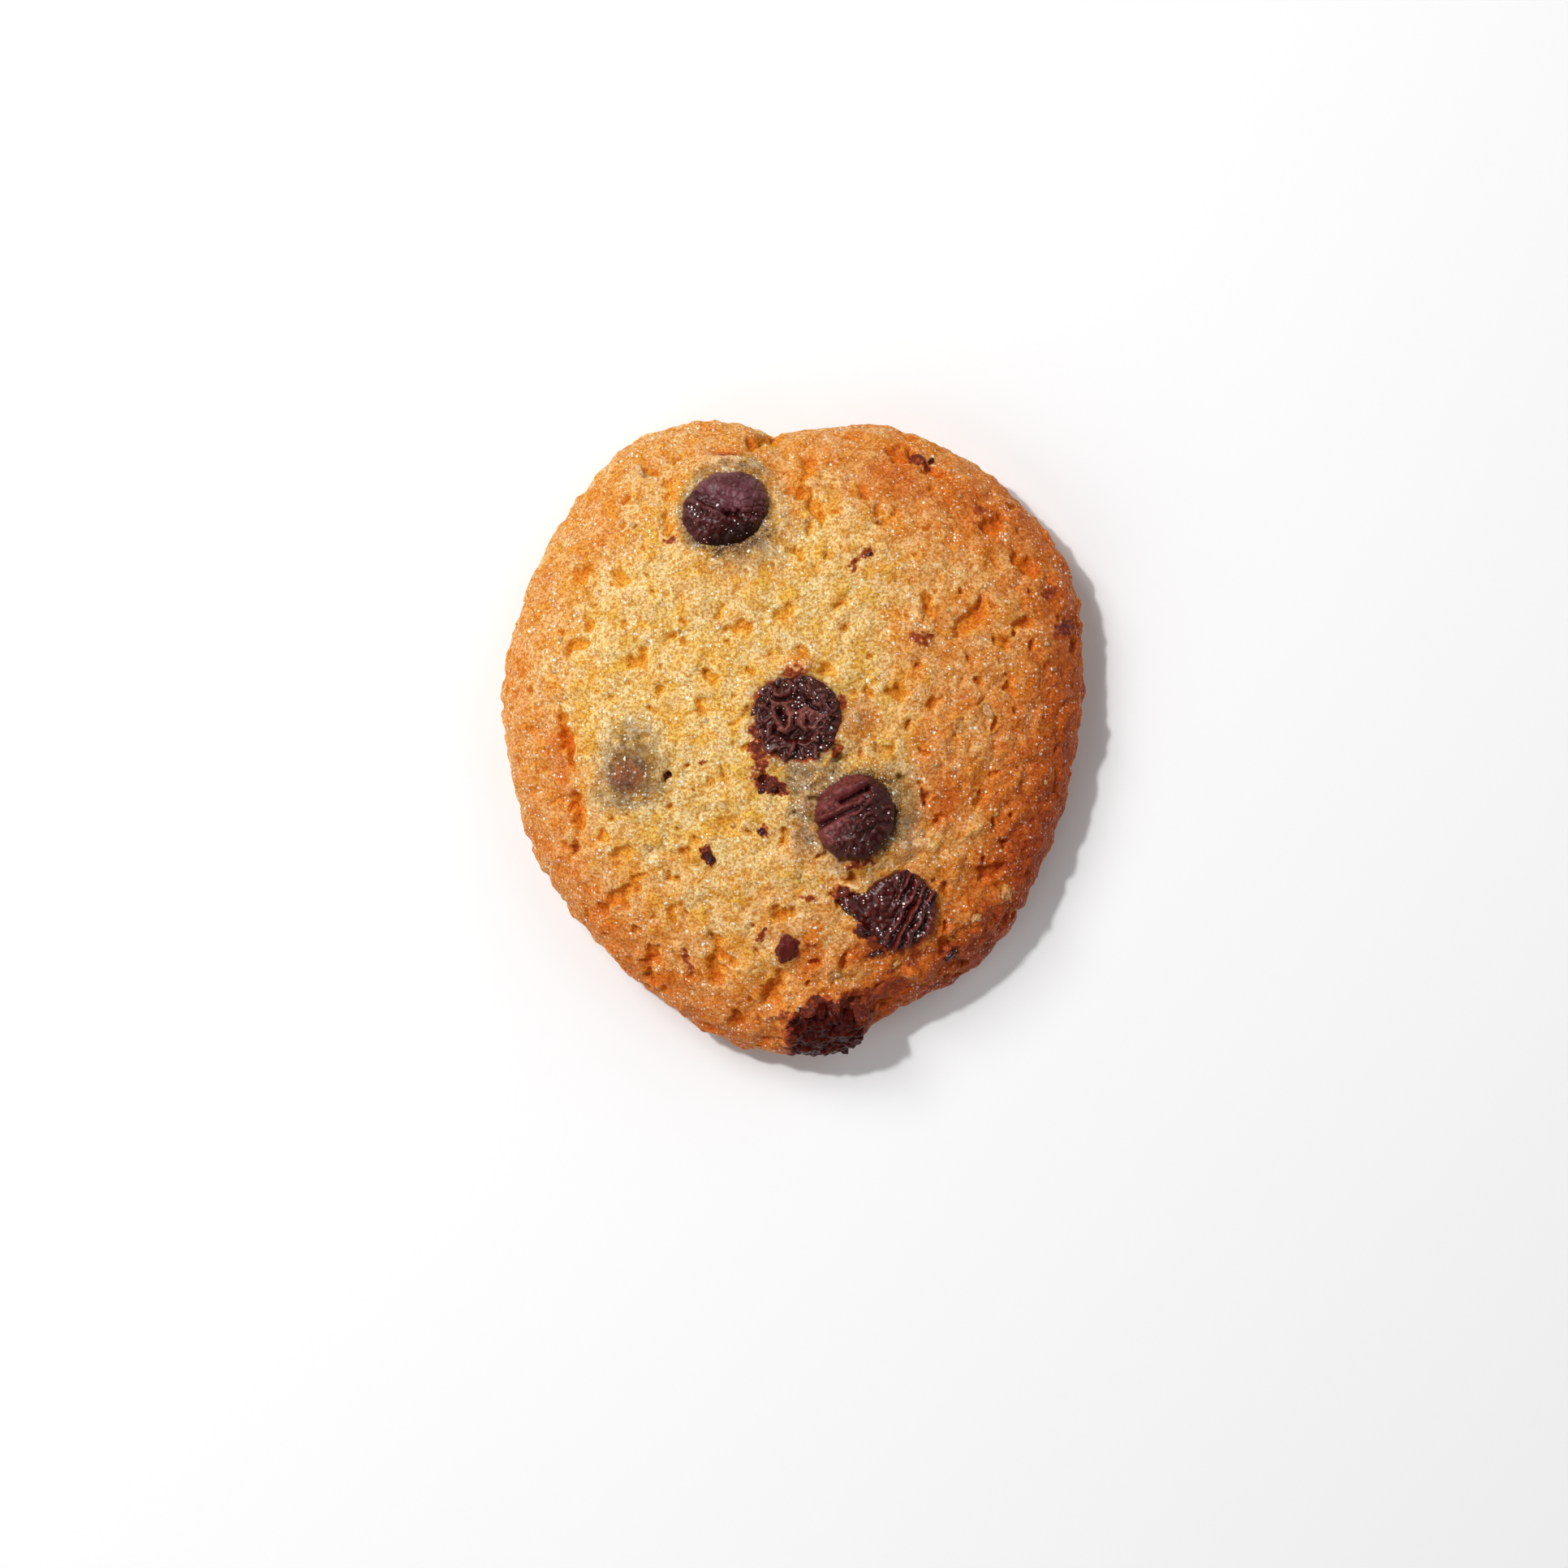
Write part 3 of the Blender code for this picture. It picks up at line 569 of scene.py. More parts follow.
smears = [  # the last number is 1 for chocolate, less for a red-brown film
    (-16.9, -4.4, 2.2, 1.8, 350, 0.32), (0.6, 1.7, 4.9, 4.7, 0, 0.72), (6.6, -8.8, 4.4, 4.0, 80, 0.62),
    (11.4, -18.8, 4.3, 3.9, 60, 0.8), (7.4, -18.6, 1.6, 1.1, 340, 0.8), (4.2, -30.0, 5.0, 2.4, 10, 0.9),
    (-3.6, -1.2, 0.9, 0.7, 60, 0.8), (-3.1, -2.6, 0.8, 1.3, 0, 0.75), (-2.4, -5.2, 1.7, 0.9, 340, 0.95),
    (-1.2, -5.9, 1.0, 0.7, 0, 0.85), (-4.0, -4.2, 0.5, 1.0, 0, 0.5), (-3.8, 0.3, 0.6, 0.7, 0, 0.75),
    (-8.5, -12.7, 0.7, 1.1, 30, 0.9), (-3.0, -10.1, 0.7, 0.6, 0, 0.8), (8.1, 18.9, 1.0, 0.5, 30, 0.62),
    (6.8, 17.8, 0.8, 0.5, 80, 0.66), (13.7, 10.1, 1.3, 0.8, 340, 0.6), (13.6, 29.3, 1.1, 0.6, 340, 0.75),
    (14.8, 29.0, 0.7, 0.5, 40, 0.75), (19.9, 23.8, 0.7, 0.6, 0, 0.68), (27.3, 15.0, 0.8, 0.6, 60, 0.7),
    (28.8, 11.3, 1.3, 0.8, 20, 0.8), (-12.5, 20.2, 0.6, 0.5, 0, 0.6), (-23.0, -11.9, 0.6, 0.5, 0, 0.7),
    (-3.0, -21.1, 0.9, 0.4, 60, 0.66), (-10.9, -23.2, 0.4, 0.9, 20, 0.64),
    (-10.4, -24.6, 0.5, 0.8, 0, 0.66), (1.9, -17.2, 1.1, 0.4, 350, 0.62), (7.8, -20.4, 1.0, 1.2, 60, 0.95),
    (9.4, -22.8, 1.8, 0.5, 25, 0.8), (5.7, -17.0, 1.0, 1.3, 20, 0.9), (16.8, -23.2, 1.3, 0.6, 45, 0.95),
    (13.0, -23.4, 0.9, 0.5, 60, 0.7), (3.2, -28.0, 1.6, 0.7, 350, 0.85), (1.4, -29.2, 1.3, 0.8, 30, 0.85),
    (6.6, -28.0, 3.4, 1.2, 12, 0.72), (10.4, -26.8, 2.6, 1.0, 25, 0.66), (0.6, -31.4, 1.2, 1.4, 0, 0.9),
    (-0.6, -29.0, 0.7, 0.5, 30, 0.7), (4.0, -32.4, 4.6, 1.6, 12, 1.0), (5.4, 3.6, 0.9, 0.6, 100, 0.68),
    (4.9, -1.6, 1.0, 0.5, 60, 0.7), (0.4, 6.6, 1.6, 0.5, 0, 0.66), (-6.8, 29.5, 1.3, 0.5, 350, 0.58),
    (7.2, -13.6, 1.6, 0.4, 10, 0.75), (-12.9, -4.3, 0.45, 0.6, 0, 1.0), (-10.1, -6.0, 0.4, 0.3, 0, 0.7),
    (-9.3, -2.9, 0.4, 0.3, 0, 0.66), (16.2, -15.6, 0.5, 0.5, 0, 0.6), (2.0, -22.0, 0.5, 0.4, 0, 0.6)]
# dark specks round the chips
stains = [
    (-6.6, 22.9, 4.5, 3.9, 28, 0.8), (-6.0, 20.6, 4.2, 2.0, 12, 0.5), (7.3, -8.3, 4.5, 4.2, 80, 1.0),
    (2.4, -7.0, 3.0, 4.4, 0, 0.30), (0.6, 1.5, 4.5, 4.4, 0, 0.7), (11.8, -19.0, 3.9, 3.6, 60, 0.6),
    (-15.8, -1.6, 2.2, 2.8, 10, 0.2), (-17.2, -6.4, 3.0, 1.4, 0, 0.2), (4.2, -4.6, 2.4, 1.2, 330, 0.32),
    (4.6, -29.4, 4.6, 2.2, 10, 0.4)]


def crustRadius(bearing):
    return crust["roundRadius"] + swollen(bearing, crust["swells"])


def domeHeight(x, y):
    share = min(1.0, math.hypot(x, y) / crustRadius(math.degrees(math.atan2(y, x))))
    full = crust["domeFullness"]
    return crust["rimHeight"] + crust["domeRise"] * (1 - share**full) ** (1 / full)


def crustMeridian(steps=96):
    # share of the radius, height and weight, from the middle of the top to that of the foot
    line = []
    power = 2 / crust["domeFullness"]
    for i in range(steps + 1):
        turn = math.pi / 2 * i / steps
        line.append((math.sin(turn) ** power,
                     crust["rimHeight"] + crust["domeRise"] * abs(math.cos(turn)) ** power, 1.0))
    foot = crust["footShare"]
    for i in range(1, steps + 1):
        turn = math.pi / 2 * i / steps
        line.append((foot + (1 - foot) * math.cos(turn), crust["rimHeight"] * (1 - math.sin(turn)), 0.8))
    for i in range(1, steps + 1):
        line.append((foot * (1 - i / steps), 0.0, crust["footWeight"]))
    return line


chips = {
    "upper": dict(x=-6.8, y=23.5, half=(4.75, 3.95), bearing=28, lift=-0.3, crown=2.9,
                  root=3.2, lean=10, leanTo=70),
    "middle": dict(x=0.6, y=1.8, half=(4.75, 4.55), bearing=0, lift=-0.3, crown=1.9,
                   root=3.4, lean=3, leanTo=200),
    "right": dict(x=6.7, y=-8.6, half=(4.6, 4.25), bearing=80, lift=0.0, crown=2.5,
                  root=3.4, lean=8, leanTo=150),
    "melted": dict(x=11.4, y=-18.4, half=(4.1, 3.75), bearing=60, lift=0.25, crown=0.9,
                   root=3.0, lean=14, leanTo=300),
    "rim": dict(x=3.4, y=-31.1, half=(4.4, 3.9), bearing=0, lift=-0.4, crown=1.3,
                root=2.6, lean=50, leanTo=270),
}


def chipSurroundings(x, y):
    # the dough rises to a collar round a chip and gives way under it
    rise, under = 0.0, 0.0
    for chip in chips.values():
        radius = sum(chip["half"]) / 2
        away = math.hypot(x - chip["x"], y - chip["y"])
        beyond = (away - radius) / crust["collarWidth"]
        rise = max(rise, crust["collarShare"] * chip["crown"] * math.exp(-(beyond**2)))
        if chip["crown"] > 1.5:
            under = max(under, 1 - smoothStep(0.62 * radius, 0.95 * radius, away))
    return rise, under


def crustPoint(point):
    # what the relief adds at a point, in millimetres, and the masks there
    x, y, z = point
    bearing = math.degrees(math.atan2(y, x))
    share = math.hypot(x, y) / crustRadius(bearing)
    onTop = smoothStep(crust["rimHeight"] - 1.2, crust["rimHeight"] + 0.8, z)
    edge = smoothStep(0.80, 0.94, share)
    warp = noise.noise_vector(point / 2.3) * 0.7
    hills = crust["hills"][1] * noise.noise(point / crust["hills"][0])
    near, nextNear = noise.voronoi((point + warp) / crust["clumps"][0])[0][:2]
    clumps = crust["clumps"][1] * (smoothStep(0.0, 0.5, nextNear - near) - 0.6)
    near, nextNear = noise.voronoi((point + warp * 0.6) / crust["nodules"][0])[0][:2]
    knob = 1 - smoothStep(0.05, 0.62, near)
    rough = 1 - 0.25 * edge
    knobs = crust["nodules"][1] * rough * (knob - 0.45)
    grain = crust["grains"][1] * noise.noise(point / crust["grains"][0])
    grain += crust["swirls"][1] * rough * noise.noise((point + warp) / crust["swirls"][0])
    size, depth = crust["pores"]
    thick = 0.5 + 0.5 * noise.noise(point / 6.0 + Vector((3, 7, 1)))
    pore = noise.noise((point + warp * 0.8) / size + Vector((11, 5, 2)))
    pore = smoothStep(0.49 - 0.14 * thick, 0.60, pore)
    tiny = smoothStep(0.46, 0.66, noise.noise(point / crust["tinyPores"][0] + Vector((2, 9, 4))))
    pore, tiny = pore * (1 - 0.3 * edge), tiny * (1 - 0.3 * edge)
    pitted, rise, under, lump = 0.0, 0.0, 0.0, 0.0
    if onTop > 0:
        fray = noise.noise_vector(point / 0.9)
        wx, wy = x + warp.x * 0.4 + fray.x * 0.75, y + warp.y * 0.4 + fray.y * 0.75
        for pit in pits:
            away = reach(wx, wy, pit)
            if away < 1.2:
                pitted = max(pitted, 0.85 * pit[5] * (1 - smoothStep(0.6, 1.1, away)))
        for spot in lumps:
            away = reach(wx, wy, spot)
            if away < 1.5:
                lump = max(lump, spot[5] * math.exp(-(away**2) * 1.6))
        rise, under = chipSurroundings(x, y)
        hx, hy, hiddenRadius, hiddenHeight = crust["hiddenChip"]
        hidden = math.hypot(x - hx, y - hy) / hiddenRadius
        rise += hiddenHeight * math.exp(-(hidden**2) * 1.6)
        if hidden < 1:
            pore *= 0.2
    hollow = max(pitted, pore * depth, tiny * crust["tinyPores"][1])
    move = hills + clumps + knobs + grain + onTop * (rise + lump - 1.0 * under) - hollow
    move *= smoothStep(0.0, crust["fadeHeight"], z)
    # the grooves between clumps take a little of the pits' painted glow
    groove = 1 - smoothStep(0.0, 0.28, nextNear - near)
    masks = {
        "pit": min(1.0, hollow / 0.75 + 0.25 * groove),
        "nodule": min(1.0, max(0.0, knob + lump * 0.8 - 0.3 * edge)),
        "toast": toastAt(x, y, z, bearing, share, onTop),
        "ash": 0.0, "smear": 0.0, "stain": 0.0}
    if onTop > 0:
        wx, wy = x + warp.x * 0.9, y + warp.y * 0.9
        masks["ash"] = onTop * max(overlaid(wx, wy, ashSpots), chipHalo(wx, wy))
        fray = noise.noise_vector(point / 0.55)
        wx, wy = x + warp.x * 0.6 + fray.x * 0.5, y + warp.y * 0.6 + fray.y * 0.5
        masks["smear"] = onTop * strongest(wx, wy, smears)
        masks["stain"] = onTop * strongest(wx, wy, stains)
    return move, masks


def chipHalo(x, y):
    # the dough close to a chip is stained by it
    darkest = 0.0
    for name, strength in crust["halos"].items():
        chip = chips[name]
        beyond = math.hypot(x - chip["x"], y - chip["y"]) - sum(chip["half"]) / 2
        darkest = max(darkest, strength * math.exp(-((max(0.0, beyond + 0.2) / 0.9) ** 2)))
    return darkest


def overlaid(x, y, spots):
    total = 0.0
    for spot in spots:
        away = reach(x, y, spot)
        if away < 1.6:
            total = max(total, spot[5] * (1 - smoothStep(0.35, 1.25, away)))
    return total


def strongest(x, y, spots):
    most = 0.0
    for spot in spots:
        away = reach(x, y, spot)
        if away < 1.5:
            most = max(most, spot[5] * (1 - smoothStep(0.75, 1.3, away)))
    return most


def toastAt(x, y, z, bearing, share, onTop):
    toast = 0.0
    for centre, spread, amount, start in browning:
        away = (bearing - centre + 180) % 360 - 180
        toast += amount * math.exp(-((away / spread) ** 2)) * smoothStep(start, start + 0.36, share)
    if onTop > 0:
        for spot in toastedSpots:
            away = reach(x, y, spot)
            if away < 2:
                toast += spot[5] * math.exp(-(away**2) * 1.3)
    foot = 1 - smoothStep(0.2, 1.8, z)
    toast = lerp(toast, 0.58 + 0.1 * noise.noise(Vector((x, y, 0)) / 7), foot)
    return toast + 0.05 * noise.noise(Vector((x, y, z)) / 4.0)


def makeCrust():
    ball = evenBall(crustMeridian(), crust["roundRadius"], crustRadius, crust["frequency"])
    names = ("pit", "nodule", "toast", "ash", "smear", "stain")
    layers = {name: ball.verts.layers.float.new(name) for name in names}
    moves = []
    for vert in ball.verts:
        move, masks = crustPoint(vert.co)
        moves.append(vert.normal * move)
        for name in names:
            vert[layers[name]] = masks[name]
    for vert, move in zip(ball.verts, moves):
        vert.co = (vert.co + move) * mm
    ball.normal_update()
    return ball


crustBall = makeCrust()
crustPiece = pieceFrom(crustBall, "crust", goldenCrumb)
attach(crustPiece, "root")
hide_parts("dough")
crustTree = BVHTree.FromBMesh(crustBall)
print("crust made:", len(crustBall.faces), "triangles")


def onCrust(x, y):
    # where a line dropped at x, y in millimetres meets the crust, and the slope there
    spot, normal, _, _ = crustTree.ray_cast(Vector((x * mm, y * mm, 0.05)), Vector((0, 0, -1)))
    return spot, normal


# the chips

chipMesh = {
    "frequency": 42,
    "fullness": 2.5,
    "rootWeight": 0.4,
    "spread": 8,
    # painted light and shade from the chip's relief: its strength and its limits
    "reliefShading": 6.5,
    "reliefShadingRange": (-1.2, 0.6),
    "ragged": {"upper": 0.22, "middle": 0.18, "right": 0.22, "melted": 0.5, "rim": 0.6},
}
tail = (172, 17, 2.4, 2)  # where the melted chip ran out: bearing, spread, length, exponent


def wrinkle(x, y, size, seed):
    return noise.noise(Vector((x, y, seed)) / size)


def groove(x, y, start, end, width):
    # 1 along a line from start to end, falling to 0 beside it
    run = Vector(end) - Vector(start)
    part = min(1.0, max(0.0, (Vector((x, y)) - Vector(start)).dot(run) / run.length_squared))
    away = (Vector((x, y)) - Vector(start) - run * part).length
    return math.exp(-((away / width) ** 2))


def cracks(x, y, size, seed):
    near, nextNear = noise.voronoi(Vector((x, y, seed)) / size)[0][:2]
    return 1 - smoothStep(0.0, 0.22, nextNear - near)


# each top gives the height in millimetres and the share of bloom at a place on its chip; the share also
# carries painted shade and painted light, which darken and lighten the chocolate
def pebbledTop(x, y):
    capEdge = 0.45 * x + 0.75 * y + 0.9 * wrinkle(x, y, 1.4, 5.0) + 0.5 * wrinkle(x, y, 0.6, 5.0)
    cap = smoothStep(-0.9, 0.9, capEdge)
    pebbles = -0.17 * cracks(x, y, 1.0, 2.0) * smoothStep(-0.8, 1.2, x) + 0.06 * wrinkle(x, y, 0.4, 2.0)
    rough = (1 - cap) * (0.44 * wrinkle(x, y, 1.1, 1.0) + 0.10 * wrinkle(x, y, 0.42, 3.0))
    crease = -0.4 * groove(x, y, (-3.0, 0.8), (0.2, -0.9), 0.3)
    crease -= 0.42 * groove(x, y, (0.2, -0.9), (3.2, -0.8), 0.35)
    low = 1.1 * smoothStep(0.2, 3.6, 0.55 * x - 0.8 * y)  # the side away from the light is dark
    height = 0.3 * cap + pebbles + rough + crease + 0.3 * wrinkle(x, y, 2.2, 4.0) - 0.25
    return height, 0.1 + 0.9 * cap - low


def hollowedTop(x, y):
    x, y = x + 0.7 * wrinkle(x, y, 1.5, 11.0), y + 0.7 * wrinkle(x, y, 1.5, 12.0)
    away = math.hypot(x, y)
    hollow = -0.8 * (1 - smoothStep(2.2, 3.2, away))
    toLeft = math.hypot(x + 1.3, (y - 0.2) * 0.7)
    toRight = math.hypot((x - 1.2) * 0.9, y + 0.3)
    leftLobe = 1.1 * math.exp(-(((toLeft - 0.85) / 0.42) ** 2)) * smoothStep(1.0, -0.4, x)
    rightLobe = 1.15 * math.exp(-((toRight / 1.3) ** 4))
    rightLobe -= 0.9 * math.exp(-(((x - 1.6) ** 2 + (y + 0.5) ** 2) / 0.35))
    bits = 0.34 * wrinkle(x, y, 0.9, 3.0) + 0.34 * wrinkle(x, y, 0.42, 6.0)
    ring = smoothStep(2.6, 3.4, away) * (0.6 * wrinkle(x, y, 1.1, 8.0))
    lobes = max(leftLobe, rightLobe)
    return hollow + lobes + bits + ring - 0.05, min(1.0, 0.9 * lobes + 0.02)


def creasedTop(x, y):
    fold = -0.9 * groove(x, y, (-1.2, 1.5), (1.7, 3.0), 0.26)
    fold += 0.45 * groove(x, y, (-1.6, 2.3), (1.4, 3.6), 0.45)
    ledge = -0.5 * groove(x, y, (-3.9, -1.2), (0.6, 0.9), 0.28)
    ledge += 0.36 * groove(x, y, (-3.2, -0.2), (2.2, 1.8), 0.4)
    across = (y - 0.46 * x) * 6.0 + 2.6 * wrinkle(x, y, 1.4, 0.0)
    lines = 0.06 * math.sin(across) * smoothStep(2.4, 0.4, abs(y - 0.5))
    dimple = -0.4 * math.exp(-(((x - 1.8) ** 2 + (y + 2.0) ** 2) / 0.7))
    rest = 0.34 * wrinkle(x, y, 1.5, 7.0) + 0.17 * wrinkle(x, y, 0.6, 8.0) + 0.10 * wrinkle(x, y, 0.34, 8.0)
    shade = smoothStep(-2.5, 2.0, x - y * 0.6)
    return fold + ledge + lines + dimple + rest - 0.14, 1.0 - 1.1 * shade


def ridgedTop(x, y):
    turn = math.radians(64)
    across = x * math.sin(turn) - y * math.cos(turn)
    wave = math.sin(across * 2 * math.pi / 1.05 + 2.0 * wrinkle(x, y, 1.5, 4.0))
    strong = smoothStep(-2.4, 0.4, x - 0.25 * y) * (0.65 + 0.8 * wrinkle(x, y, 1.2, 2.0))
    rest = 0.34 * wrinkle(x, y, 1.3, 9.0) + 0.18 * wrinkle(x, y, 0.5, 9.0)
    # painted light and shade: the share follows the ridges, paler on their crests and darker between them
    return 0.42 * wave * strong + rest, 0.22 + 0.4 * wave * strong


def smearedTop(x, y):
    height = 0.35 * wrinkle(x, y, 1.3, 3.0) + 0.25 * wrinkle(x, y, 0.5, 4.0)
    return height, 0.2 + 0.3 * wrinkle(x, y, 1.6, 5.0)


tops = {
    "upper": pebbledTop, "middle": hollowedTop, "right": creasedTop, "melted": ridgedTop,
    "rim": smearedTop}


def chipMeridian(crown, root, steps=32):
    line = []
    power = 2 / chipMesh["fullness"]
    for i in range(2 * steps + 1):
        turn = math.pi / 2 * i / steps
        rise = abs(math.cos(turn)) ** power
        height = crown * rise if i < steps else -root * rise
        weight = 1.0 if i <= steps else chipMesh["rootWeight"]
        line.append((abs(math.sin(turn)) ** power, height, weight))
    return line


def makeChip(name, chip):
    halfLong, halfWide = chip["half"]
    axis = math.radians(chip["bearing"])
    swells = [tail] if name == "melted" else []

    def radiusAt(bearing):
        turn = math.radians(bearing) - axis
        rough = chipMesh["ragged"][name]
        frayed = rough * noise.noise(Vector((math.cos(turn) * 3, math.sin(turn) * 3, len(name))))
        frayed += 0.6 * rough * noise.noise(Vector((math.cos(turn) * 8, math.sin(turn) * 8, len(name))))
        oval = 1 / math.hypot(math.cos(turn) / halfLong, math.sin(turn) / halfWide)
        return oval + swollen(bearing, swells) + frayed

    ball = evenBall(chipMeridian(chip["crown"], chip["root"]), halfLong, radiusAt, chipMesh["frequency"])
    layer = ball.verts.layers.float.new("bloom")
    moves = []
    heights = []
    for vert in ball.verts:
        height, vert[layer] = tops[name](vert.co.x, vert.co.y)
        heights.append(height * smoothStep(0.15, 0.7, vert.normal.z))
        moves.append(vert.normal * heights[-1])
    # painted light and shade: ridges are painted paler and hollows darker than the surface round them
    ball.verts.index_update()
    around = heights
    for _ in range(chipMesh["spread"]):
        around = [
            sum(around[edge.other_vert(vert).index] for edge in vert.link_edges) / len(vert.link_edges)
            for vert in ball.verts]
    deepest, palest = chipMesh["reliefShadingRange"]
    for vert, height, level in zip(ball.verts, heights, around):
        vert[layer] += min(palest, max(deepest, chipMesh["reliefShading"] * (height - level)))
    for vert, move in zip(ball.verts, moves):
        vert.co += move
    lean, leanTo = math.radians(chip["lean"]), math.radians(chip["leanTo"])
    leaning = Vector((math.sin(lean) * math.cos(leanTo), math.sin(lean) * math.sin(leanTo), math.cos(lean)))
    turn = Vector((0, 0, 1)).rotation_difference(leaning).to_matrix().to_4x4()
    height = domeHeight(chip["x"], chip["y"]) + chip["lift"]
    stance = Matrix.Scale(mm, 4) @ Matrix.Translation((chip["x"], chip["y"], height)) @ turn
    bmesh.ops.transform(ball, matrix=stance, verts=ball.verts[:])
    ball.normal_update()
    return ball


for name, chip in chips.items():
    finish = chocolates[chipFinishes[name]]
    piece = pieceFrom(makeChip(name, chip), "chip" + name.capitalize(), finish)
    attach(piece, "root")
    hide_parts("chip_" + name)
print("chips made")

# the shard and the loose bits


def laidBit(bits, x, y, halfLength, halfWidth, bearing, height, sink=0.45, detail=2, ragged=0.6):
    # one rough lump that lies on the crust, added to a bmesh
    spot, normal = onCrust(x, y)
    if spot is None:
        return
    made = bmesh.ops.create_icosphere(bits, subdivisions=detail, radius=1.0)["verts"]
    for vert in made:
        swell = 1 + ragged * noise.noise(vert.co * 1.6 + Vector((x, y, bearing)))
        flat = [math.copysign(abs(c) ** 0.8, c) for c in vert.co]
        vert.co = Vector((flat[0] * halfLength, flat[1] * halfWidth, flat[2] * height)) * swell
    tilt = Vector((0, 0, 1)).rotation_difference(normal).to_matrix().to_4x4()
    spin = Matrix.Rotation(math.radians(bearing), 4, "Z")
    lift = normal * height * (1 - 2 * sink) * mm * 0.5
    stand = Matrix.Translation(spot + lift) @ tilt @ spin @ Matrix.Scale(mm, 4)
    bmesh.ops.transform(bits, matrix=stand, verts=made)


shard = {
    "place": (-0.4, -22.6), "half": (1.35, 1.0), "bearing": 75, "height": 0.55, "sink": 0.35, "detail": 5}
shardBall = bmesh.new()
laidBit(shardBall, *shard["place"], *shard["half"], shard["bearing"], shard["height"],
        sink=shard["sink"], detail=shard["detail"])
shardPiece = pieceFrom(shardBall, "chocolateShard", chocolates["shardChocolate"])
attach(shardPiece, "root")

# x, y, half length, half width, bearing, height
chocolateBits = [
    (-2.7, -5.1, 0.5, 0.25, 300, 0.22), (-1.6, -5.7, 0.4, 0.3, 10, 0.22), (-3.0, -5.9, 0.4, 0.25, 20, 0.2),
    (-8.4, -12.9, 0.4, 0.6, 30, 0.3), (-3.0, -10.1, 0.4, 0.3, 0, 0.25), (16.8, -23.2, 0.8, 0.4, 45, 0.35),
    (7.7, -20.6, 0.6, 0.8, 60, 0.4), (9.0, -22.9, 0.8, 0.25, 25, 0.3), (5.6, -17.4, 0.5, 0.6, 20, 0.4),
    (-12.9, -4.3, 0.25, 0.35, 0, 0.2), (14.9, 29.0, 0.3, 0.25, 40, 0.2), (8.3, 18.9, 0.35, 0.2, 30, 0.2)]
bitsBall = bmesh.new()
for bit in chocolateBits:
    laidBit(bitsBall, *bit, detail=3)
bitsPiece = pieceFrom(bitsBall, "chocolateBits", chocolates["meltedChocolate"])
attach(bitsPiece, "root")

crumbs = {"count": 40, "seed": 41, "least": 0.14, "most": 0.34, "reach": 0.97, "thickness": 0.7}
namedCrumbs = [  # crumbs that stand out: x, y, half length, half width, bearing, height
    (22.7, -16.6, 0.8, 0.6, 60, 0.45), (19.6, -19.2, 0.5, 0.4, 0, 0.3), (16.8, 31.0, 0.6, 0.4, 40, 0.3),
    (20.7, 2.6, 0.9, 0.4, 300, 0.3), (8.7, -7.0, 0.25, 0.2, 0, 0.2), (7.7, -20.4, 0.25, 0.2, 0, 0.2),
    (3.6, 32.9, 0.35, 0.3, 0, 0.3), (-15.8, 27.8, 0.9, 0.35, 105, 0.25), (11.2, -24.0, 0.4, 0.3, 30, 0.25)]
crumbBall = bmesh.new()
for bit in namedCrumbs:
    laidBit(crumbBall, *bit, detail=3)
dice = random.Random(crumbs["seed"])
for _ in range(crumbs["count"]):
    bearing, out = dice.uniform(0, 360), math.sqrt(dice.uniform(0.02, 0.98))
    away = out * crumbs["reach"] * crustRadius(bearing)
    size = dice.uniform(crumbs["least"], crumbs["most"])
    x, y = away * math.cos(math.radians(bearing)), away * math.sin(math.radians(bearing))
    laidBit(crumbBall, x, y, size, size * dice.uniform(0.6, 1.0), dice.uniform(0, 180),
            size * crumbs["thickness"])
crumbPiece = pieceFrom(crumbBall, "looseCrumbs", looseCrumb)
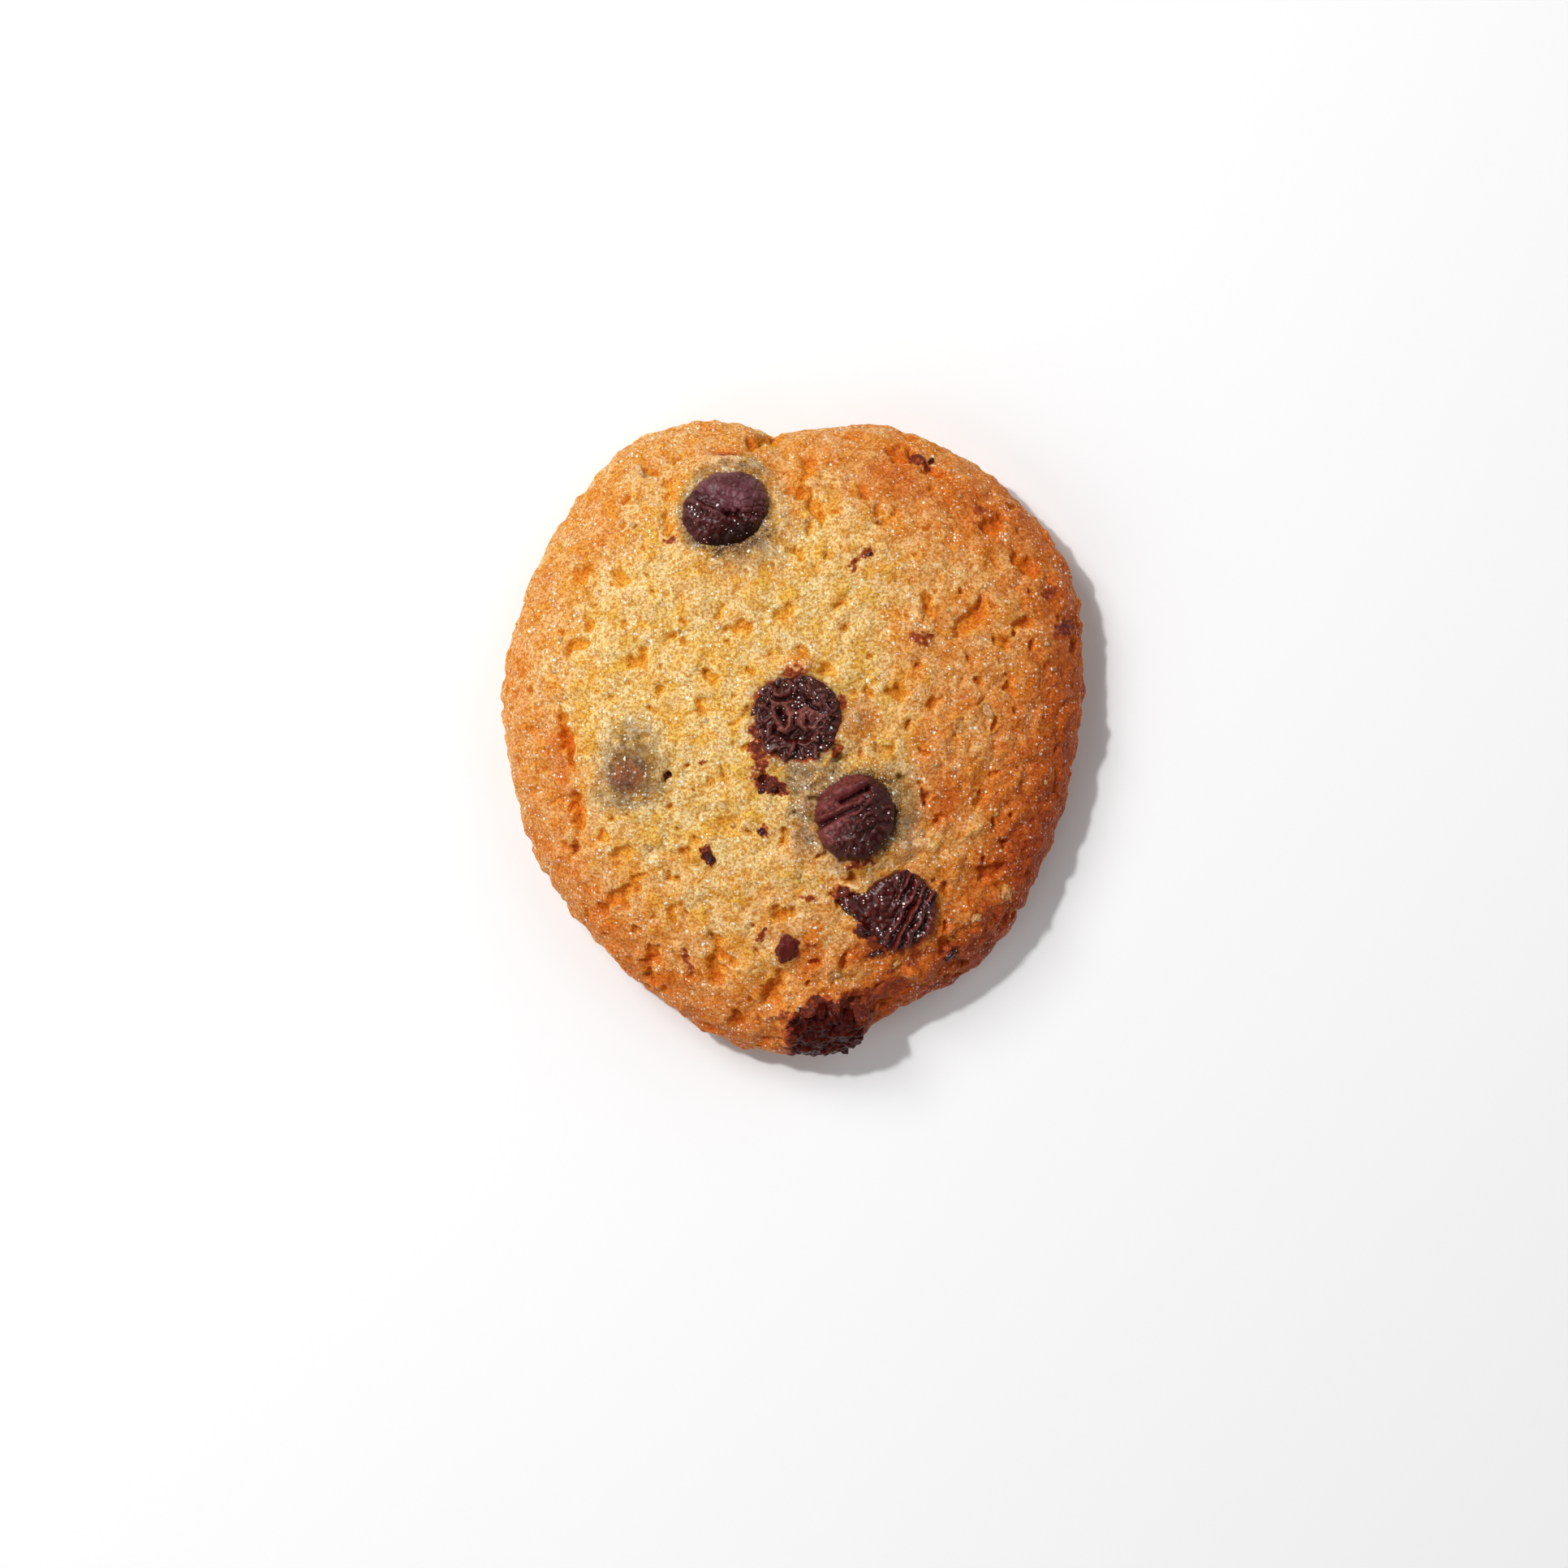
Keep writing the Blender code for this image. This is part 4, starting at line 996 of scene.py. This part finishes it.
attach(crumbPiece, "root")
print("bits and crumbs made")

# floor, light and camera, in metres
studio = {"floorHalf": 1.5, "floorTone": (0.86, 0.86, 0.86, 1), "floorRoughness": 0.9, "world": 0.16}
floorMesh = bmesh.new()
bmesh.ops.create_grid(floorMesh, x_segments=1, y_segments=1, size=studio["floorHalf"])
floorFinish, _, floorShader = startMaterial("paleFloor")
floorShader.inputs["Base Color"].default_value = studio["floorTone"]
floorShader.inputs["Roughness"].default_value = studio["floorRoughness"]
floor = pieceFrom(floorMesh, "floor", floorFinish)

lights = {
    "key": dict(place=(-0.42, 0.40, 0.60), size=0.34, power=3.05),
    "spark": dict(place=(-0.30, 0.22, 0.60), size=0.04, power=2.6),
    "side": dict(place=(-0.5, -0.5, 0.5), size=0.6, power=1.85),
    "fill": dict(place=(0.6, 0.35, 0.6), size=0.8, power=2.1),
}
for name, light in lights.items():
    lamp = bpy.data.lights.new(name, "AREA")
    lamp.energy, lamp.size = light["power"], light["size"]
    holder = bpy.data.objects.new(name, lamp)
    holder.location = light["place"]
    holder.rotation_euler = (-Vector(light["place"])).to_track_quat("-Z", "Y").to_euler()
    bpy.context.scene.collection.objects.link(holder)

world = bpy.data.worlds.new("studio")
world.use_nodes = True
sky = world.node_tree.nodes["Background"]
sky.inputs["Color"].default_value = (1, 1, 1, 1)
sky.inputs["Strength"].default_value = studio["world"]
bpy.context.scene.world = world
bpy.context.scene.view_settings.view_transform = "Standard"

shot = {
    "middle": (-0.645 * mm, -5.16 * mm),
    "height": 0.605,
    "focus": 0.005,  # height of the plane that the frame's width is measured in
    "width": 166.15 * mm,
    "sensor": 36.0,
}
cameraData = bpy.data.cameras.new("camera")
cameraData.sensor_width = shot["sensor"]
cameraData.lens = shot["sensor"] * (shot["height"] - shot["focus"]) / shot["width"]
cameraData.clip_start = 0.01
camera = bpy.data.objects.new("camera", cameraData)
camera.location = (*shot["middle"], shot["height"])
bpy.context.scene.collection.objects.link(camera)
bpy.context.scene.camera = camera
